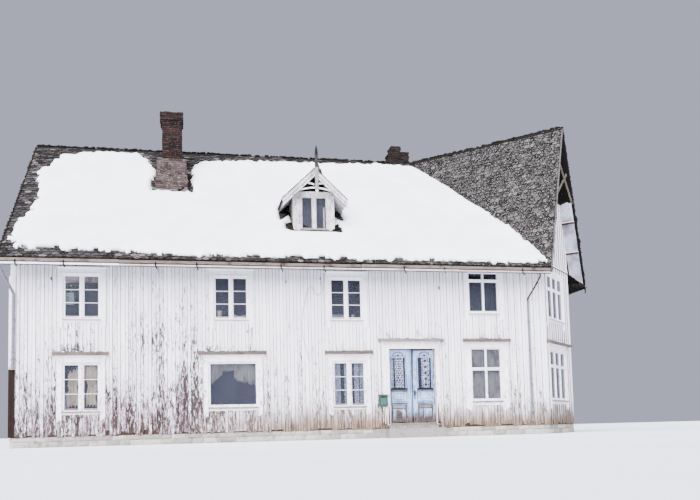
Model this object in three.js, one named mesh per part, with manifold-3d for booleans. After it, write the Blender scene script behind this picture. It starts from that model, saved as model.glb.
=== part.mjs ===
// Two-storey timber farmhouse with a canted front corner, a steep gable over it and a slate roof.
// Millimetres. X runs along the front wall from its left corner, Y runs back from the front
// wall's outer face and Z runs up from the foot of the stone foundation.
import * as THREE from 'three';
import { mergeVertices } from 'three/addons/utils/BufferGeometryUtils.js';
import Module from 'manifold-3d';

const wasm = await Module();
wasm.setup();

// Clearance between pieces that rest on or stand against each other.
const GAP = 0.3;

// Plan
const FRONT_LENGTH = 16850;
const CANT_LENGTH = 2630;
const DEPTH = 9900;
const WALL = 250;
const CANT_RUN = CANT_LENGTH * Math.SQRT1_2;
const RIGHT_X = FRONT_LENGTH + CANT_RUN;

// Levels
const FOOT = 300;
const GROUND_FLOOR_TOP = 400;
const UPPER_FLOOR_TOP = 3150;
const ATTIC_FLOOR_TOP = 5700;
const FLOOR_THICK = 200;
const EAVE_Z = 5450;
const RIDGE_Z = 10770;

// Roof
const EAVE_OVERHANG = 740;
const LEFT_VERGE = 260;
const CORNER_VERGE = 510;
const ROOF_THICK = 125;
const BARGE_THICK = 40;
const CORNER_BARGE_DEEP = 620;
const FASCIA_THICK = 26;
const PIPE_RADIUS = 45;
const WIRE_RADIUS = 6;
const BRACE_ENDS = [[560, 9150], [860, 8220]];
const PURLINS_Z = [6650, 7660];
const RIDGE_Y = DEPTH / 2;
const SLOPE = (RIDGE_Z - EAVE_Z) / (RIDGE_Y + EAVE_OVERHANG);
const ROOF_DROP = ROOF_THICK * Math.hypot(1, SLOPE);
const EAVE_X = RIGHT_X + EAVE_OVERHANG;
const HIP = new THREE.Vector2(EAVE_X - RIDGE_Y - EAVE_OVERHANG, RIDGE_Y);

// Steep gable over the canted corner. Its ridge runs level from the hip point to the apex.
const OUT = new THREE.Vector2(Math.SQRT1_2, -Math.SQRT1_2);
const ALONG = new THREE.Vector2(Math.SQRT1_2, Math.SQRT1_2);
const CANT_MID = new THREE.Vector2(FRONT_LENGTH + CANT_RUN / 2, CANT_RUN / 2);
const APEX = CANT_MID.clone().addScaledVector(OUT, CORNER_VERGE);
const GABLE_HALF = (APEX.y + EAVE_OVERHANG) * Math.SQRT2;
const GABLE_FOOT_LEFT = APEX.clone().addScaledVector(ALONG, -GABLE_HALF);
const GABLE_FOOT_RIGHT = APEX.clone().addScaledVector(ALONG, GABLE_HALF);
const GABLE_SLOPE = (RIDGE_Z - EAVE_Z) / GABLE_HALF;
const GABLE_DROP = ROOF_THICK * Math.hypot(1, GABLE_SLOPE);

// Doorway and its two leaves
const DOOR_LEFT = 11380;
const DOOR_RIGHT = 12930;
const DOOR_SILL = 450;
const DOOR_HEAD = 2850;
const DOOR_JAMB = 45;
const LEAF_THICK = 45;
const LEAF_FACE = 70;
const LEAF_GAP = 6;
const LEAF_BACK = LEAF_FACE + LEAF_THICK;
const HINGE_OUT = 10;
const HINGE_RADIUS = 8;
const HINGE_HIGH = 45;
const HINGES_Z = [720, 1650, 2600];
const LEAF_GLASS = [1560, 2610];
const STEP_OUT = 420;
const SILL_OUT = 70;
const SILL_TOP = DOOR_SILL - 60;

// Windows: opening in the wall, casing round it, board moulding over it. Heights from the ground.
const CASEMENT = { width: 1100, post: 150, rail: 62 };
const FRONT_WINDOWS = {
  window_upper_1: { at: 1974, sill: 3790, head: 5150, casing: [1290, 2670, 3670, 5330] },
  window_upper_2: { at: 6383, sill: 3790, head: 5150, casing: [5700, 7070, 3670, 5350] },
  window_upper_3: { at: 10025, sill: 3790, head: 5150, casing: [9340, 10710, 3670, 5330] },
  window_upper_4: { at: 14680, width: 1080, sill: 4030, head: 5410, casing: [13990, 15380, 3940, 5560],
    toplight: 5130 },
  window_lower_1: { at: 1960, sill: 1037, head: 2485, casing: [1270, 2650, 930, 2670],
    cornice: [1160, 2740, 2790] },
  window_lower_2: { at: 6420, width: 1540, sill: 1080, head: 2480, single: true,
    casing: [5520, 7320, 960, 2670], cornice: [5370, 7440, 2790] },
  window_lower_3: { at: 10070, sill: 1037, head: 2485, casing: [9380, 10760, 930, 2680],
    cornice: [9290, 10840, 2790] },
  window_lower_4: { at: 14690, width: 1080, sill: 1130, head: 2880, casing: [13930, 15450, 990, 3060],
    toplight: 2190, cornice: [13890, 15540, 3170] },
};
const CORNER_WINDOWS = {
  corner_window_upper: { at: 1080, width: 1680, sill: 3920, head: 5440, lights: 3,
    casing: [130, 2030, 3790, 5560], toplight: 4965 },
  corner_window_lower: { at: 1080, width: 1680, sill: 1130, head: 2820, lights: 3,
    casing: [130, 2030, 990, 3060], toplight: 2300, cornice: [50, 2390, 3150] },
};
const SIDE_WINDOW_UPPER = { sill: 3790, head: 5150, above: 180, below: 120, side: 135 };
const SIDE_WINDOW_LOWER = { sill: 1037, head: 2485, above: 190, below: 110, side: 135, cornice: 2790 };
const LEFT_WINDOWS_AT = [2600, 7300];
const BACK_WINDOWS_AT = [2600, 6900, 11200, 15500];
const RIGHT_WINDOWS_AT = [1900, 5900];
const CASING_THICK = 32;
const PANE_THICK = 6;
const SHEET_LAP = 20;

// Dormer
const DORMER_LEFT = 8490;
const DORMER_RIGHT = 9840;
const DORMER_MID = (DORMER_LEFT + DORMER_RIGHT) / 2;
const DORMER_FACE = 740;
const DORMER_RIDGE = 8820;
const DORMER_PITCH = 0.96;
const DORMER_HALF = 1060;
const DORMER_VERGE = 400;
const DORMER_WALL = 90;
const DORMER_ROOF_THICK = 80;
const DORMER_SILL = 6960;
const DORMER_HEAD = 7965;

// Chimneys
const CHIMNEY = { base: [4010, 5120, 2650, 4150], shoulder: [4090, 5050, 2760, 4150],
  stack: [4260, 4930, 3300, 4050], baseTop: 9500, shoulderTop: 9730, neck: 9900, top: 11700 };
const STUB = { left: 12900, right: 13720, front: 4880, back: 5430, low: 11300, high: 11520 };

// Snow that lies on the front slope, as an outline in plan
const SNOW_THICK = 150;
const SNOW = [[60, -310], [2560, -390], [8500, -460], [15070, -540], [16600, -540], [16130, 330],
  [15330, 1830], [14520, 3330], [13640, 4800], [9000, 4740], [5500, 4700], [3600, 4640], [1980, 4760],
  [630, 4650], [300, 3870], [320, 2720], [210, 1650], [10, 670], [-70, 120]];

const paints = {
  cladding: [0xe9e9ee, 0.85, 0], trim: [0xe4e4e8, 0.8, 0], timber: [0x7d6a5c, 0.9, 0],
  slate: [0x6f6a66, 0.9, 0], brick: [0x5d3f3a, 0.95, 0], stone: [0x8a8782, 0.95, 0],
  board: [0x9a8468, 0.85, 0], glass: [0x39434f, 0.1, 0], door: [0x9fbdd8, 0.8, 0],
  rust: [0x6b4533, 0.85, 0.4], mailbox: [0x2d6e5a, 0.5, 0.2], snow: [0xf4f6fa, 0.95, 0],
  cable: [0x2a2a2c, 0.7, 0], weathered: [0x8b857c, 0.9, 0],
};

const REACH = 30000;
const DEEP = 400000;
const EVERYWHERE = [[-REACH, -REACH], [REACH, -REACH], [REACH, REACH], [-REACH, REACH]];

const root = new THREE.Group();

function toManifold(geometry) {
  const bare = geometry.index ? geometry.toNonIndexed() : geometry.clone();
  bare.deleteAttribute('normal');
  bare.deleteAttribute('uv');
  const merged = mergeVertices(bare, 1e-3);
  const mesh = new wasm.Mesh({
    numProp: 3,
    vertProperties: Float32Array.from(merged.attributes.position.array),
    triVerts: Uint32Array.from(merged.index.array),
  });
  return new wasm.Manifold(mesh);
}

function toGeometry(solid) {
  const mesh = solid.getMesh();
  const geometry = new THREE.BufferGeometry();
  geometry.setAttribute('position', new THREE.BufferAttribute(Float32Array.from(mesh.vertProperties), 3));
  geometry.setIndex(new THREE.BufferAttribute(Uint32Array.from(mesh.triVerts), 1));
  const flat = geometry.toNonIndexed();
  flat.computeVertexNormals();
  return flat;
}

function place(name, paint, solid, wall = null, parent = root) {
  const [color, roughness, metalness] = paints[paint];
  const material = new THREE.MeshStandardMaterial({ color, roughness, metalness });
  const geometry = solid.isBufferGeometry ? solid : toGeometry(solid);
  const mesh = new THREE.Mesh(geometry, material);
  mesh.name = name;
  if (wall) {
    mesh.position.set(wall.x, wall.y, 0);
    mesh.rotation.z = wall.turn;
  }
  parent.add(mesh);
  return mesh;
}

function box(x0, x1, y0, y1, z0, z1) {
  const geometry = new THREE.BoxGeometry(x1 - x0, y1 - y0, z1 - z0);
  geometry.translate((x0 + x1) / 2, (y0 + y1) / 2, (z0 + z1) / 2);
  return toManifold(geometry);
}

// A solid over a plan outline, from one sloping face to another.
function between(outline, low, high) {
  const points = outline.map(([x, y]) => new THREE.Vector2(x, y));
  if (THREE.ShapeUtils.isClockWise(points)) points.reverse();
  const count = points.length;
  const position = [];
  for (const p of points) position.push(p.x, p.y, low(p.x, p.y));
  for (const p of points) position.push(p.x, p.y, high(p.x, p.y));
  const index = [];
  for (const [a, b, c] of THREE.ShapeUtils.triangulateShape(points, [])) {
    index.push(c, b, a, a + count, b + count, c + count);
  }
  for (let i = 0; i < count; i += 1) {
    const j = (i + 1) % count;
    index.push(i, j, j + count, i, j + count, i + count);
  }
  const geometry = new THREE.BufferGeometry();
  geometry.setAttribute('position', new THREE.Float32BufferAttribute(position, 3));
  geometry.setIndex(index);
  return toManifold(geometry);
}

const level = (z) => () => z;

// A board whose outline is drawn in a wall's own plane, from one depth to another.
function upright(outline, near, far) {
  const shape = new THREE.Shape(outline.map(([u, z]) => new THREE.Vector2(u, z)));
  const geometry = new THREE.ExtrudeGeometry(shape, { depth: far - near, bevelEnabled: false });
  geometry.rotateX(Math.PI / 2);
  geometry.translate(0, far, 0);
  return toManifold(geometry);
}

function inset(outline, distance) {
  const points = outline.map(([x, y]) => new THREE.Vector2(x, y));
  if (THREE.ShapeUtils.isClockWise(points)) points.reverse();
  return points.map((p, i) => {
    const before = points[(i + points.length - 1) % points.length];
    const after = points[(i + 1) % points.length];
    const a = p.clone().sub(before).normalize();
    const b = after.clone().sub(p).normalize();
    const na = new THREE.Vector2(-a.y, a.x);
    const nb = new THREE.Vector2(-b.y, b.x);
    const shift = na.clone().add(nb).multiplyScalar(distance / (1 + na.dot(nb)));
    return [p.x + shift.x, p.y + shift.y];
  });
}

function join(solids) {
  return solids.reduce((sum, solid) => sum.add(solid));
}

// A round tube along a smooth or broken line.
function tube(points, radius, sides, steps, straight) {
  const at = points.map((p) => new THREE.Vector3(...p));
  const path = straight ? new THREE.CurvePath() : new THREE.CatmullRomCurve3(at);
  if (straight) {
    for (let i = 1; i < at.length; i += 1) path.add(new THREE.LineCurve3(at[i - 1], at[i]));
  }
  const ring = new THREE.Shape();
  for (let i = 0; i < sides; i += 1) {
    const angle = (i / sides) * Math.PI * 2;
    if (i === 0) ring.moveTo(radius, 0);
    else ring.lineTo(Math.cos(angle) * radius, Math.sin(angle) * radius);
  }
  return new THREE.ExtrudeGeometry(ring, { steps, extrudePath: path, bevelEnabled: false });
}

// Walls, each with its own origin at the left end of its outer face as seen from outside.
const WALLS = {
  front: { x: 0, y: 0, turn: 0, length: FRONT_LENGTH, start: 90, end: 135 },
  corner: { x: FRONT_LENGTH, y: 0, turn: Math.PI / 4, length: CANT_LENGTH, start: 135, end: 135 },
  right: { x: RIGHT_X, y: CANT_RUN, turn: Math.PI / 2, length: DEPTH - CANT_RUN, start: 135, end: 90 },
  back: { x: RIGHT_X, y: DEPTH, turn: Math.PI, length: RIGHT_X, start: 90, end: 90 },
  left: { x: 0, y: DEPTH, turn: -Math.PI / 2, length: DEPTH, start: 90, end: 90 },
};
const FOOTPRINT = [[0, 0], [FRONT_LENGTH, 0], [RIGHT_X, CANT_RUN], [RIGHT_X, DEPTH], [0, DEPTH]];

const frontSlope = (x, y) => EAVE_Z + (y + EAVE_OVERHANG) * SLOPE;
const backSlope = (x, y) => EAVE_Z + (DEPTH + EAVE_OVERHANG - y) * SLOPE;
const rightSlope = (x) => EAVE_Z + (EAVE_X - x) * SLOPE;
const acrossGable = (x, y) => (x - APEX.x + y - APEX.y) * Math.SQRT1_2;
const gableLeft = (x, y) => RIDGE_Z + acrossGable(x, y) * GABLE_SLOPE;
const gableRight = (x, y) => RIDGE_Z - acrossGable(x, y) * GABLE_SLOPE;
const lowered = (surface, drop) => (x, y) => surface(x, y) - drop;

function under(surface, drop) {
  return between(EVERYWHERE, level(-DEEP), lowered(surface, drop));
}

function spaceUnderMainRoof(clear) {
  return under(frontSlope, ROOF_DROP + clear)
    .intersect(under(backSlope, ROOF_DROP + clear))
    .intersect(under(rightSlope, ROOF_DROP + clear));
}

// The space under the roof, which walls are cut to.
function spaceUnderRoof(clear) {
  const beyondHip = [[HIP.x - REACH, HIP.y - REACH], [HIP.x + REACH, HIP.y - REACH],
    [HIP.x + REACH, HIP.y + REACH]];
  const gable = under(gableLeft, GABLE_DROP + clear)
    .intersect(under(gableRight, GABLE_DROP + clear))
    .intersect(between(beyondHip, level(-DEEP), level(DEEP)));
  return spaceUnderMainRoof(clear).add(gable);
}

const underRoof = spaceUnderRoof(GAP);

function seenFrom(wall, solid) {
  return solid.translate([-wall.x, -wall.y, 0]).rotate([0, 0, -THREE.MathUtils.radToDeg(wall.turn)]);
}

function mitre(angle) {
  return 1 / Math.tan(THREE.MathUtils.degToRad(angle / 2));
}

function wallBody(wall, thick, low, high) {
  const clear = GAP / 2;
  const outline = [[clear, 0], [wall.length - clear, 0],
    [wall.length - clear - thick * mitre(wall.end), thick], [clear + thick * mitre(wall.start), thick]];
  return between(outline, level(low), level(high));
}

function openingOf(spec) {
  const half = (spec.width ?? CASEMENT.width) / 2;
  return box(spec.at - half, spec.at + half, -100, WALL + 100, spec.sill, spec.head);
}

function wallWithOpenings(wall, specs) {
  return wallBody(wall, WALL, FOOT + GAP, RIDGE_Z)
    .intersect(seenFrom(wall, underRoof))
    .subtract(join(specs.map(openingOf)));
}

function sideSpecs(at, spec) {
  return at.map((u) => ({
    at: u,
    sill: spec.sill,
    head: spec.head,
    casing: [u - CASEMENT.width / 2 - spec.side, u + CASEMENT.width / 2 + spec.side,
      spec.sill - spec.below, spec.head + spec.above],
    cornice: spec.cornice ? [u - 790, u + 790, spec.cornice] : undefined,
  }));
}

// Casing boards on the wall, frame in the opening, posts between the lights and a sill board.
// The clearance is negative where the frame is one piece with its wall.
function windowFrame(spec, clear = GAP) {
  const half = (spec.width ?? CASEMENT.width) / 2;
  const [left, right, low, high] = spec.casing;
  const x0 = spec.at - half + clear;
  const x1 = spec.at + half - clear;
  const z0 = spec.sill + clear;
  const z1 = spec.head - clear;
  const rail = CASEMENT.rail;
  const pieces = [
    box(left, right, -CASING_THICK, -clear, low, high).subtract(box(x0 + 9, x1 - 9, -90, 9, z0 + 9, z1 - 9)),
    box(x0, x1, -10, 120, z0, z1).subtract(box(x0 + rail, x1 - rail, -20, 130, z0 + rail, z1 - rail)),
    box(left - 20, right + 20, -75, -clear, spec.sill - 60, spec.sill + 12),
    box(left - 20, right + 20, -60, -clear, high - 1, high + 35),
  ];
  for (const post of postsOf(spec)) {
    pieces.push(box(post - CASEMENT.post / 2, post + CASEMENT.post / 2, 10, 110, z0 + 5, z1 - 5));
  }
  if (spec.toplight) pieces.push(box(x0 + 5, x1 - 5, 12, 108, spec.toplight - 30, spec.toplight + 30));
  if (spec.cornice) {
    const [a, b, top] = spec.cornice;
    pieces.push(box(left + 20, right - 20, -22, -clear, high, top - 20));
    pieces.push(box(a, b, -110, -clear, top - 45, top));
  }
  return join(pieces);
}

function postsOf(spec) {
  if (spec.single) return [];
  if (!spec.lights) return spec.toplight ? [] : [spec.at];
  const step = (spec.width - CASEMENT.rail) / spec.lights;
  return [-0.5, 0.5].map((n) => spec.at + n * step);
}

// One sheet closes a row of windows from inside the wall.
function glassSheet(name, wall, specs) {
  const half = (spec) => (spec.width ?? CASEMENT.width) / 2 + SHEET_LAP;
  const left = Math.min(...specs.map((spec) => spec.at - half(spec)));
  const right = Math.max(...specs.map((spec) => spec.at + half(spec)));
  const low = Math.min(...specs.map((spec) => spec.sill)) - SHEET_LAP;
  const high = Math.max(...specs.map((spec) => spec.head)) + SHEET_LAP;
  place(name, 'glass', box(left, right, WALL + GAP, WALL + PANE_THICK, low, Math.min(high,
    high > UPPER_FLOOR_TOP ? ATTIC_FLOOR_TOP - FLOOR_THICK - GAP : UPPER_FLOOR_TOP - FLOOR_THICK - GAP)), wall);
}

function buildFoundation() {
  place('foundation', 'stone', between(FOOTPRINT, level(0), level(FOOT)));
  const x0 = DOOR_LEFT - DOOR_JAMB;
  const x1 = DOOR_RIGHT + DOOR_JAMB;
  place('door_step', 'stone', box(x0 - 100, x1 + 100, -STEP_OUT, -GAP, 0, FOOT));
  place('door_sill', 'weathered', box(x0, x1, -SILL_OUT, WALL, FOOT + GAP, SILL_TOP));
}

function buildFloors() {
  const inside = inset(FOOTPRINT, WALL + GAP);
  place('ground_floor', 'board', between(inside, level(FOOT + GAP), level(GROUND_FLOOR_TOP)));
  place('upper_floor', 'board',
    between(inside, level(UPPER_FLOOR_TOP - FLOOR_THICK), level(UPPER_FLOOR_TOP)));
  place('attic_floor', 'board',
    between(inside, level(ATTIC_FLOOR_TOP - FLOOR_THICK), level(ATTIC_FLOOR_TOP)));
}

function buildFrontWall(specs) {
  const wall = WALLS.front;
  const solid = wallWithOpenings(wall, specs);
  const left = DOOR_LEFT - DOOR_JAMB - GAP;
  const right = DOOR_RIGHT + DOOR_JAMB + GAP;
  const top = DOOR_HEAD + DOOR_JAMB + GAP;
  const cut = (x0, x1, z0) => solid.intersect(box(x0, x1, -100, WALL + 100, z0, RIDGE_Z));
  place('front_wall_left', 'cladding', cut(-100, left, 0), wall);
  place('front_wall_over_door', 'cladding', cut(left + GAP, right - GAP, top), wall);
  place('front_wall_right', 'cladding', cut(right, FRONT_LENGTH + 100, 0), wall);
}

// A side wall carries its window frames.
function buildSideWall(name, side, at) {
  const wall = WALLS[side];
  const lower = sideSpecs(at, SIDE_WINDOW_LOWER);
  const upper = sideSpecs(at, SIDE_WINDOW_UPPER);
  const all = [...lower, ...upper];
  const frames = all.map((spec) => windowFrame(spec, -2));
  place(name, 'cladding', join([wallWithOpenings(wall, all), ...frames]), wall);
  glassSheet(`${side}_glass_lower`, wall, lower);
  glassSheet(`${side}_glass_upper`, wall, upper);
}

function buildWalls() {
  buildFrontWall(Object.values(FRONT_WINDOWS));
  buildSideWall('left_gable_wall', 'left', LEFT_WINDOWS_AT);
  buildSideWall('back_wall', 'back', BACK_WINDOWS_AT);
  buildSideWall('right_wall', 'right', RIGHT_WINDOWS_AT);
  place('corner_wall', 'cladding', wallWithOpenings(WALLS.corner, Object.values(CORNER_WINDOWS)),
    WALLS.corner);
}

function buildFrontWindows() {
  for (const [name, spec] of Object.entries(FRONT_WINDOWS)) {
    place(name, 'trim', windowFrame(spec), WALLS.front);
  }
  for (const [name, spec] of Object.entries(CORNER_WINDOWS)) {
    place(name, 'trim', windowFrame(spec), WALLS.corner);
  }
  const f = FRONT_WINDOWS;
  const upper = [f.window_upper_1, f.window_upper_2, f.window_upper_3, f.window_upper_4];
  const lower = [f.window_lower_1, f.window_lower_2, f.window_lower_3];
  glassSheet('front_glass_upper', WALLS.front, upper);
  glassSheet('front_glass_lower_left', WALLS.front, lower);
  glassSheet('front_glass_lower_right', WALLS.front, [f.window_lower_4]);
  glassSheet('corner_glass_upper', WALLS.corner, [CORNER_WINDOWS.corner_window_upper]);
  glassSheet('corner_glass_lower', WALLS.corner, [CORNER_WINDOWS.corner_window_lower]);
}

function roofSlab(outline, surface, drop) {
  return between(inset(outline, GAP / 2), lowered(surface, drop), surface);
}

// Where the slabs stop behind the corner gable's barge boards: on the valley and on the eave.
function besideBarge(foot, eaveX, eaveY) {
  const back = BARGE_THICK / APEX.distanceTo(HIP);
  const valley = foot.clone().lerp(HIP, back);
  return { valley: [valley.x, valley.y], eave: [foot.x + eaveX * BARGE_THICK * Math.SQRT2,
    foot.y + eaveY * BARGE_THICK * Math.SQRT2] };
}

const BESIDE_LEFT = besideBarge(GABLE_FOOT_LEFT, -1, 0);
const BESIDE_RIGHT = besideBarge(GABLE_FOOT_RIGHT, 0, 1);

function mainRoofPieces() {
  const left = -LEFT_VERGE + BARGE_THICK;
  const front = -EAVE_OVERHANG;
  const back = DEPTH + EAVE_OVERHANG;
  const hip = [HIP.x, HIP.y];
  return {
    roof_front: roofSlab([[left, front], BESIDE_LEFT.eave, BESIDE_LEFT.valley, hip, [left, RIDGE_Y]],
      frontSlope, ROOF_DROP),
    roof_back: roofSlab([[left, RIDGE_Y], hip, [EAVE_X, back], [left, back]], backSlope, ROOF_DROP),
    roof_right: roofSlab([hip, BESIDE_RIGHT.valley, BESIDE_RIGHT.eave, [EAVE_X, back]],
      rightSlope, ROOF_DROP),
  };
}

function cornerRoofPieces() {
  const top = APEX.clone().addScaledVector(OUT, -BARGE_THICK);
  const apex = [top.x, top.y];
  const hip = [HIP.x, HIP.y];
  const attic = spaceUnderMainRoof(0);
  return {
    corner_roof_left: roofSlab([BESIDE_LEFT.valley, apex, hip], gableLeft, GABLE_DROP).subtract(attic),
    corner_roof_right: roofSlab([apex, BESIDE_RIGHT.valley, hip], gableRight, GABLE_DROP).subtract(attic),
  };
}

function buildRoof() {
  const pieces = { ...mainRoofPieces(), ...cornerRoofPieces() };
  const well = box(DORMER_LEFT + DORMER_WALL, DORMER_RIGHT - DORMER_WALL, DORMER_FACE + DORMER_WALL, 2100,
    0, 20000);
  pieces.roof_front = pieces.roof_front.subtract(well);
  for (const [name, solid] of Object.entries(pieces)) place(name, 'slate', solid);
}

// A pair of boards along the verges, in the plane of a gable.
function bargePair(mid, half, top, foot, deep, near, far) {
  return upright([[mid - half, foot - deep], [mid, top - deep], [mid + half, foot - deep],
    [mid + half, foot], [mid, top], [mid - half, foot]], near, far);
}

function buildLeftVerge() {
  const mid = DEPTH / 2;
  const boards = bargePair(mid, mid + EAVE_OVERHANG, RIDGE_Z, EAVE_Z, 260, -LEFT_VERGE,
    -LEFT_VERGE + BARGE_THICK - GAP);
  place('left_barge_boards', 'trim', boards, WALLS.left);
}

// Barge boards, crossed braces and purlin ends of the steep corner gable, joined as one frame.
function buildCornerGableFrame() {
  const mid = CANT_LENGTH / 2;
  const near = -CORNER_VERGE;
  const boards = bargePair(mid, GABLE_HALF, RIDGE_Z, EAVE_Z, CORNER_BARGE_DEEP, near, near + BARGE_THICK - GAP);
  const bar = (u0, z0, u1, z1) => upright([[mid + u0, z0 - 60], [mid + u1, z1 - 60],
    [mid + u1, z1 + 60], [mid + u0, z0 + 60]], near + 10, near + 90);
  const purlin = (side, z) => {
    const u = mid + side * ((RIDGE_Z - GABLE_DROP - z) / GABLE_SLOPE - 70);
    return box(u - 65, u + 65, near + 20, -GAP, z - 140, z);
  };
  const purlins = PURLINS_Z.flatMap((z) => [purlin(-1, z), purlin(1, z)]);
  const [high, low] = BRACE_ENDS;
  const behind = join([bar(-high[0], high[1], low[0], low[1]), bar(-low[0], low[1], high[0], high[1]), ...purlins])
    .intersect(seenFrom(WALLS.corner, underRoof));
  place('corner_gable_frame', 'weathered', boards.add(behind), WALLS.corner);
}

function buildFascias() {
  const z0 = EAVE_Z - ROOF_DROP - 20;
  const z1 = EAVE_Z - 8;
  const out = FASCIA_THICK;
  const back = DEPTH + EAVE_OVERHANG;
  place('eave_fascia_front', 'weathered',
    box(-LEFT_VERGE, GABLE_FOOT_LEFT.x - 60, -EAVE_OVERHANG - out, -EAVE_OVERHANG - GAP, z0, z1));
  place('eave_fascia_rear', 'weathered', join([
    box(-LEFT_VERGE, EAVE_X + out, back + GAP, back + out, z0, z1),
    box(EAVE_X + GAP, EAVE_X + out, GABLE_FOOT_RIGHT.y + 60, back + out, z0, z1),
  ]));
}

// Chimneys stand on the slates, cut to the slopes.
function slatesBelow(clear) {
  return under(frontSlope, -clear).intersect(under(backSlope, -clear));
}

function frustum(low, high, z0, z1) {
  const ring = ([x0, x1, y0, y1], z) => [x0, y0, z, x1, y0, z, x1, y1, z, x0, y1, z];
  const geometry = new THREE.BufferGeometry();
  const position = [...ring(low, z0), ...ring(high, z1)];
  geometry.setAttribute('position', new THREE.Float32BufferAttribute(position, 3));
  const index = [2, 1, 0, 3, 2, 0, 4, 5, 6, 4, 6, 7];
  for (let i = 0; i < 4; i += 1) {
    const j = (i + 1) % 4;
    index.push(i, j, j + 4, i, j + 4, i + 4);
  }
  geometry.setIndex(index);
  return toManifold(geometry);
}

function buildChimneys() {
  const { base, shoulder, stack } = CHIMNEY;
  const head = stack.map((v, i) => v + (i % 2 ? 45 : -45));
  const solid = join([
    box(base[0], base[1], base[2], base[3], 8000, CHIMNEY.baseTop - 600),
    frustum(base, shoulder, CHIMNEY.baseTop - 601, CHIMNEY.shoulderTop),
    frustum(shoulder, stack, CHIMNEY.shoulderTop - 1, CHIMNEY.neck),
    box(stack[0], stack[1], stack[2], stack[3], CHIMNEY.neck - 1, CHIMNEY.top - 1),
    box(head[0], head[1], head[2], head[3], CHIMNEY.top - 300, CHIMNEY.top - 90),
  ]).subtract(box(stack[0] + 150, stack[1] - 150, stack[2] + 150, stack[3] - 150,
    CHIMNEY.top - 900, CHIMNEY.top + 100));
  place('chimney_stack', 'brick', solid.subtract(slatesBelow(GAP)));
  const stub = join([
    box(STUB.left, STUB.right, STUB.front, STUB.back, 10000, STUB.low),
    box(STUB.left, STUB.left + 480, STUB.front, STUB.back, STUB.low - 1, STUB.high),
  ]);
  place('chimney_stub', 'brick', stub.subtract(slatesBelow(GAP)));
}

const dormerTop = (x) => DORMER_RIDGE - Math.abs(x - DORMER_MID) * DORMER_PITCH;
const dormerUnder = (x) => dormerTop(x) - DORMER_ROOF_THICK * Math.hypot(1, DORMER_PITCH);

function buildDormer() {
  const above = between(EVERYWHERE, lowered(frontSlope, -GAP), level(60000));
  const house = (inward) => {
    const x0 = DORMER_LEFT + inward;
    const x1 = DORMER_RIGHT - inward;
    const top = (x) => dormerUnder(x) - GAP - inward * 0.8;
    return [[x0, 6000], [x1, 6000], [x1, top(x1)], [DORMER_MID, top(DORMER_MID)], [x0, top(x0)]];
  };
  const opening = box(DORMER_MID - 470, DORMER_MID + 470, 0, 3000, DORMER_SILL, DORMER_HEAD);
  const walls = upright(house(0), DORMER_FACE, 2700)
    .subtract(upright(house(DORMER_WALL), DORMER_FACE + DORMER_WALL, 4000))
    .subtract(opening)
    .add(dormerFrame())
    .intersect(above);
  place('dormer_walls', 'trim', walls);
  const mouth = DORMER_FACE - DORMER_VERGE;
  const outline = [-1, 0, 1].map((side) => DORMER_MID + side * DORMER_HALF);
  const roof = upright([...outline.map((x) => [x, dormerTop(x)]).reverse(),
    ...outline.map((x) => [x, dormerUnder(x)])], mouth + BARGE_THICK, 3200);
  place('dormer_roof', 'slate', roof.intersect(above));
  place('dormer_gable_frame', 'weathered', dormerGableFrame(mouth));
  const pane = [DORMER_MID - 480, DORMER_MID + 480, DORMER_SILL - 10, DORMER_HEAD + 10];
  const back = DORMER_FACE + DORMER_WALL;
  place('dormer_glass', 'glass', box(pane[0], pane[1], back + GAP, back + PANE_THICK, pane[2], pane[3]));
}

// Sashes, centre post and sill board of the dormer's window.
function dormerFrame() {
  const x0 = DORMER_MID - 475;
  const x1 = DORMER_MID + 475;
  const y0 = DORMER_FACE - 25;
  const y1 = DORMER_FACE + DORMER_WALL - 15;
  const z0 = DORMER_SILL - 5;
  const z1 = DORMER_HEAD + 5;
  return join([
    box(x0, x1, y0, y1, z0, z1).subtract(box(x0 + 75, x1 - 75, y0 - 10, y1 + 10, z0 + 65, z1 - 65)),
    box(DORMER_MID - 70, DORMER_MID + 70, y0 + 5, y1 - 5, z0 + 5, z1 - 5),
    box(x0 - 120, x1 + 120, DORMER_FACE - 90, DORMER_FACE + 5, z0 - 70, z0 + 20),
  ]);
}

// Barge boards, collar, braces and a post that ends in a pointed finial.
function dormerGableFrame(mouth) {
  const mid = DORMER_MID;
  const near = mouth - 20;
  const far = mouth + BARGE_THICK - GAP;
  const boards = bargePair(mid, DORMER_HALF, DORMER_RIDGE, dormerTop(mid + DORMER_HALF), 310, mouth, far);
  const post = upright([[mid - 50, 8100], [mid + 50, 8100], [mid + 50, 9100], [mid, 9560],
    [mid - 50, 9100]], near - 50, far - 5);
  const collar = upright([[mid - 600, 8020], [mid + 600, 8020], [mid + 600, 8110], [mid - 600, 8110]],
    near, far - 5);
  const brace = (side) => {
    const bar = [[20, 8560], [20, 8450], [430, 8080], [520, 8090]].map(([u, z]) => [mid + side * u, z]);
    return upright(side > 0 ? bar : bar.reverse(), near, far - 5);
  };
  return join([boards, post, collar, brace(-1), brace(1)]);
}

// A hinge knuckle at the origin with its plate, which lies back on the face that carries it.
function knuckle(side, low) {
  const barrel = new THREE.CylinderGeometry(HINGE_RADIUS, HINGE_RADIUS, HINGE_HIGH, 12);
  barrel.rotateX(Math.PI / 2);
  barrel.translate(0, 0, low + HINGE_HIGH / 2);
  const [x0, x1] = side > 0 ? [0, 38] : [-38, 0];
  return toManifold(barrel).add(box(x0, x1, -HINGE_OUT - 2, -HINGE_OUT + 4, low, low + HINGE_HIGH))
    .add(box(x0 / 8 - 1, x1 / 8 + 1, -HINGE_OUT + 2, 0, low, low + HINGE_HIGH));
}

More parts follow.
